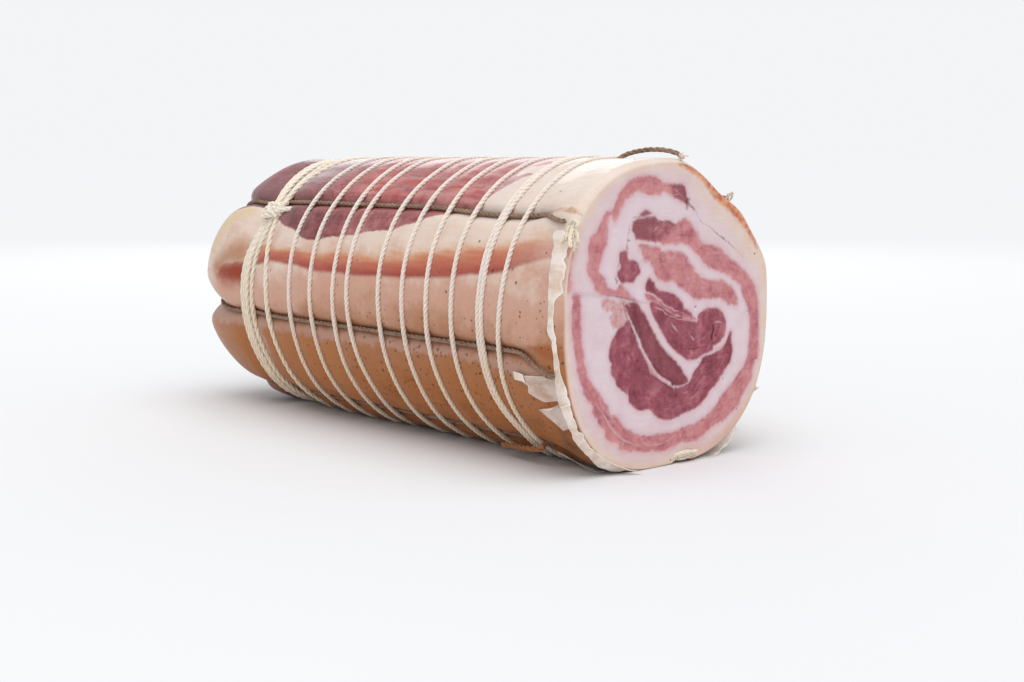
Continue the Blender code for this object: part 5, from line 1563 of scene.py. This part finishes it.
def sheet_piece(name, rows, thickness, material):
    """A thin closed sheet from a grid of points, ragged along its last row."""
    grid = np.array(rows, float)
    count, across = grid.shape[:2]
    down = np.zeros_like(grid)
    down[..., 1] = grid[..., 1]
    down[..., 2] = grid[..., 2] - CENTRE_Z
    down /= np.linalg.norm(down, axis=-1, keepdims=True)
    outer = grid.reshape(-1, 3)
    inner = (grid - down * thickness).reshape(-1, 3)
    total = len(outer)
    faces = []
    for i in range(count - 1):
        for j in range(across - 1):
            a, b = i * across + j, i * across + j + 1
            c, d = b + across, a + across
            faces += [(a, b, c, d), (total + d, total + c, total + b, total + a)]
    rim = list(range(across)) + [i * across + across - 1 for i in range(1, count)]
    rim += [(count - 1) * across + j for j in range(across - 2, -1, -1)]
    rim += [i * across for i in range(count - 2, 0, -1)]
    for a, b in zip(rim, rim[1:] + rim[:1]):
        faces.append((b, a, total + a, total + b))
    made = mesh_object(name, np.concatenate([outer, inner]), faces, material)
    edge = np.zeros((count, across))
    edge[0, :] = edge[-1, :] = 1.0
    edge[:, 0] = edge[:, -1] = 1.0
    add_values(made, "edge", np.tile(edge.reshape(-1), 2))
    face_outwards(made)
    return made


def ragged(value, seed, size):
    return noise.noise(Vector((value / size, seed * 3.7, seed)))


def casing_rows(strip, low, high, rows, columns, seed, torn):
    """A grid of points between the two edges that a strip of casing lists."""
    made = []
    given = np.array(strip, float)
    marks = np.linspace(0.0, 1.0, len(strip))
    for i in range(rows):
        u = i / (rows - 1)
        row = []
        for j in range(columns):
            v = j / (columns - 1)
            from_angle, from_x, to_angle, to_x = (float(np.interp(v, marks, given[:, k])) for k in range(4))
            angle = from_angle + (to_angle - from_angle) * u
            x = from_x + (to_x - from_x) * u
            arc = angle * SIDE_ARC
            x += torn * (ragged(arc, seed, 3.0) + 0.2 * ragged(arc, seed + 9.0, 0.9)) * (2.0 * u - 1.0)
            wave = 0.3 * ragged(arc + x * 0.5, seed + 5.0, 5.0) * (0.4 + u)
            lift = low + (high - low) * u * u + wave
            row.append(place(x, angle, float(roll_radius(angle, min(x, 0.0))) + lift, 0.35))
        made.append(row)
    return made


# Operators

class PANCETTA_OT_roll(bpy.types.Operator):
    """Make the meat: the roll, its cut face and its far end"""

    bl_idname = "pancetta.roll"
    bl_label = "Roll of Meat"

    def execute(self, context):
        roll = make_roll(context.scene.pancetta_roll)
        nodes = [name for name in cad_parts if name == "belly_roll" or name.startswith("lean_")]
        finish_piece(roll, "cured_fat", *nodes)
        return {"FINISHED"}


class PANCETTA_OT_strings(bpy.types.Operator):
    """Tie the cotton cross strings"""

    bl_idname = "pancetta.strings"
    bl_label = "Cross Strings"

    def execute(self, context):
        settings = context.scene.pancetta_string
        material = cord_material(
            "Cotton string", settings.tint, colour(248, 222, 206), 0.5, 0.6, colour(240, 212, 186))
        for seed, string in enumerate(STRINGS):
            if string[0] in KNOTTED:
                continue
            values = cord_values(settings.thickness, settings.plies, settings.pitch, material, float(seed),
                                 sides=8, groove=0.82)
            made = lay_cord(string[0] + "_cord", [(string_path(string, settings), True)], values)
            finish_piece(made, "cotton_string", string[0])
        return {"FINISHED"}


class PANCETTA_OT_binding(bpy.types.Operator):
    """Tie the thick binding near the far end, with its knot"""

    bl_idname = "pancetta.binding"
    bl_label = "Binding and Knot"

    def execute(self, context):
        settings = context.scene.pancetta_string
        material = cord_material("Aged cotton string", colour(254, 239, 221), colour(244, 221, 196), 0.5, 0.6,
                                 colour(242, 218, 190))
        paths = [(string_path(string, settings), True) for string in STRINGS if string[0] in KNOTTED]
        turns, at = knot_paths()
        tails = [
            ([at(2, 1.6, 2.6), at(7, 0.6, 3.4), at(12, -1.0, 3.0), at(17, -2.0, 2.0)], False),
            ([at(2, 0.2, 2.4), at(8, -0.8, 2.6), at(14.5, -2.6, 1.6)], False),
            ([at(2, -3.0, 2.0), at(5.5, -4.6, 2.0), at(8.0, -6.5, 1.0)], False),
        ]
        values = cord_values(settings.thickness * 1.15, settings.plies, settings.pitch * 1.7, material, 31.0,
                             unevenness=0.32, full=1.5, groove=0.85)
        made = lay_cord("binding_cord", paths + turns + tails, values)
        finish_piece(made, "cotton_string", "string_binding")
        return {"FINISHED"}


class PANCETTA_OT_twines(bpy.types.Operator):
    """Lay the brown twines along the roll, with their loose end below"""

    bl_idname = "pancetta.twines"
    bl_label = "Lengthwise Twines"

    def execute(self, context):
        settings = context.scene.pancetta_twine
        brown = cord_material("Brown twine", settings.tint, colour(86, 60, 44), 1.0)
        for number, (first, second) in enumerate(TWINE_LOOPS):
            path = loop_path(number, (TWINE_ANGLES[first], TWINE_ANGLES[second]))
            values = cord_values(settings.thickness, settings.plies, settings.pitch, brown, 50.0 + number,
                                 spacing=0.0008, sides=7)
            made = lay_cord("twine_cord_%d" % (number + 1), [(path, False)], values)
            finish_piece(made, "brown_twine", "twine_loop_%d" % (number + 1))
        path = [place(x, angle, float(roll_radius(angle, x)) + lift, 1.7) for x, angle, lift in TIE_PATH]
        amber = cord_material("Amber twine", colour(196, 132, 80), colour(108, 60, 30), 1.0, 0.3)
        values = cord_values(settings.thickness * 1.25, settings.plies, settings.pitch, amber, 60.0, sides=7)
        made = lay_cord("tie_cord", [(path, False)], values)
        finish_piece(made, "brown_twine", "twine_tie")
        return {"FINISHED"}


class PANCETTA_OT_frays(bpy.types.Operator):
    """Fray the ends of the twines and the string"""

    bl_idname = "pancetta.frays"
    bl_label = "Frayed Ends"

    def execute(self, context):
        pale = cord_material("Frayed fibre", colour(255, 238, 214), colour(250, 222, 192), 0.8, 0.6)
        hanging = place(-1.6, 144.3, float(roll_radius(144.3, -1.6)) + 1.7)
        low = place(-0.2, 156.0, float(roll_radius(156.0, -0.2)) + 1.8)
        tip = np.array(TOP_TWINE_ARCH[-1])
        upper, lower = (twine_run(angle)[0] + (1.5, 0.0, 0.4) for angle in (49.0, 328.0))
        fibres = curl_paths(upper, (1.5, -1.6, 1.8), (0.8, 1.2, 1.0), 4, 1.0)
        fibres += curl_paths(lower, (1.2, 0.6, 1.0), (0.0, 0.9, 0.5), 4, 2.0)
        fibres += tuft_paths(hanging, low - hanging, 3.0, 9.0, 30, 2.0)
        fibres += tuft_paths(tip + (0.0, -0.4, 0.2), (0.3, 0.7, -0.6), 1.5, 2.6, 26, 9.0)
        below = curl_paths((0.4, 10.0, 3.4), (0.8, 5.4, 0.4), (1.2, 0.6, 1.3), 3, 3.0)
        strands = [(np.maximum(path, (-9.0, -99.0, 1.0)), closed) for path, closed in below]
        strands += tuft_paths(hanging, low - hanging, 2.6, 8.0, 14, 5.0)
        strands += curl_paths(hanging + (0.4, 0.0, -1.6), (1.4, 0.6, 0.4), (0.2, 0.8, 1.8), 3, 6.0)
        thick = cord_values(0.0016, 3, 0.007, pale, 71.0, spacing=0.0008, sides=5, unevenness=0.3)
        thin = cord_values(0.0007, 2, 0.004, pale, 70.0, spacing=0.0008, sides=4, unevenness=0.4)
        finish_piece(lay_cord("cut_loop", strands, thick), "brown_twine")
        finish_piece(lay_cord("frayed_ends", fibres, thin), "brown_twine")
        return {"FINISHED"}


class PANCETTA_OT_casing(bpy.types.Operator):
    """Hang the torn dry casing round the cut"""

    bl_idname = "pancetta.casing"
    bl_label = "Torn Casing"

    def execute(self, context):
        settings = context.scene.pancetta_casing
        creamy = casing_material("Dry casing", settings, 0.0)
        sheer = casing_material("Thin dry casing", settings, 1.0)
        for name, (*strip, is_sheer) in CASING_SHEETS.items():
            rows = casing_rows(*strip)
            made = sheet_piece(name + "_film", rows, settings.thickness / MM, sheer if is_sheer else creamy)
            nodes = [name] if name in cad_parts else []
            finish_piece(made, "dry_casing", *nodes)
        return {"FINISHED"}


# Stage

def area_light(name, spot, aim, size, power):
    """A soft rectangular light that faces a point."""
    lamp = bpy.data.lights.new(name, "AREA")
    lamp.shape = "RECTANGLE"
    lamp.size, lamp.size_y = size
    lamp.energy = power
    made = show(name, lamp)
    made.location = spot
    made.rotation_euler = (Vector(aim) - Vector(spot)).to_track_quat("-Z", "Y").to_euler()


def lay_floor(tint):
    """A wide flat floor that the part stands on."""
    mesh = bpy.data.meshes.new("floor")
    corners = [(FLOOR_REACH * x, FLOOR_REACH * y, 0.0) for x, y in ((-1, -1), (1, -1), (1, 1), (-1, 1))]
    mesh.from_pydata(corners, [], [(0, 1, 2, 3)])
    mesh.materials.append(floor_material(tint))
    show("floor", mesh)


def light_room(settings):
    """Soft light from all round, one wide light overhead and two small windows."""
    world = bpy.data.worlds.new("Soft room")
    world.use_nodes = True
    tree = world.node_tree
    seen = put(tree, "ShaderNodeLightPath").outputs["Is Camera Ray"]
    strength = put(tree, "ShaderNodeMix", {0: seen, 2: settings.room, 3: 0.93}, data_type="FLOAT").outputs[0]
    background = tree.nodes["Background"].inputs
    fill(tree, background["Color"], (0.965, 0.98, 1.0))
    fill(tree, background["Strength"], strength)
    bpy.context.scene.world = world
    sun = bpy.data.lights.new("overhead", "SUN")
    sun.energy = settings.key
    sun.angle = math.radians(70.0)
    show("overhead", sun).rotation_euler = Vector((0.25, -0.12, 1.0)).to_track_quat("Z", "Y").to_euler()
    area_light("window", (-1.15, 0.95, 0.72), (-0.02, 0.0, 0.12), (0.7, 0.5), 2.0)
    area_light("front", (0.9, -0.9, 0.7), (0.1, 0.0, 0.07), (0.5, 0.5), 0.85)


class PANCETTA_OT_stage(bpy.types.Operator):
    """Set the pale floor, the soft lights and the camera"""

    bl_idname = "pancetta.stage"
    bl_label = "Stage"

    def execute(self, context):
        settings = context.scene.pancetta_stage
        lay_floor(tuple(settings.floor))
        light_room(settings)
        context.scene.view_settings.view_transform = "Standard"
        camera = bpy.data.cameras.new("camera")
        camera.lens = settings.lens
        camera.sensor_width = 36.0
        camera.clip_start = 0.01
        holder = show("camera", camera)
        holder.location = CAMERA_PLACE
        holder.rotation_euler = tuple(math.radians(value) for value in CAMERA_TURN)
        context.scene.camera = holder
        return {"FINISHED"}


class PANCETTA_PT_panel(bpy.types.Panel):
    """Lists what the add-on makes"""

    bl_idname = "PANCETTA_PT_panel"
    bl_label = "Rolled Pancetta"
    bl_space_type = "VIEW_3D"
    bl_region_type = "UI"
    bl_category = "Pancetta"

    def draw(self, context):
        layout = self.layout
        for settings_name, operators in PANEL_ROWS:
            box = layout.box()
            settings = getattr(context.scene, settings_name)
            for prop in settings.__annotations__:
                box.prop(settings, prop)
            for operator in operators:
                box.operator(operator)


PANEL_ROWS = (
    ("pancetta_roll", ("pancetta.roll",)),
    ("pancetta_string", ("pancetta.strings", "pancetta.binding")),
    ("pancetta_twine", ("pancetta.twines", "pancetta.frays")),
    ("pancetta_casing", ("pancetta.casing",)),
    ("pancetta_stage", ("pancetta.stage",)),
)
SETTINGS = {
    "pancetta_roll": RollSettings,
    "pancetta_string": StringSettings,
    "pancetta_twine": TwineSettings,
    "pancetta_casing": CasingSettings,
    "pancetta_stage": StageSettings,
}
CLASSES = (
    *SETTINGS.values(), PANCETTA_OT_roll, PANCETTA_OT_strings, PANCETTA_OT_binding, PANCETTA_OT_twines,
    PANCETTA_OT_frays, PANCETTA_OT_casing, PANCETTA_OT_stage, PANCETTA_PT_panel,
)


def register():
    for kind in CLASSES:
        bpy.utils.register_class(kind)
    for name, kind in SETTINGS.items():
        setattr(bpy.types.Scene, name, PointerProperty(type=kind))


def unregister():
    for name in SETTINGS:
        delattr(bpy.types.Scene, name)
    for kind in reversed(CLASSES):
        bpy.utils.unregister_class(kind)


def main():
    """Makes every piece."""
    register()
    bpy.ops.pancetta.stage()
    bpy.ops.pancetta.roll()
    bpy.ops.pancetta.strings()
    bpy.ops.pancetta.binding()
    bpy.ops.pancetta.twines()
    bpy.ops.pancetta.frays()
    bpy.ops.pancetta.casing()


if __name__ == "__main__":
    main()
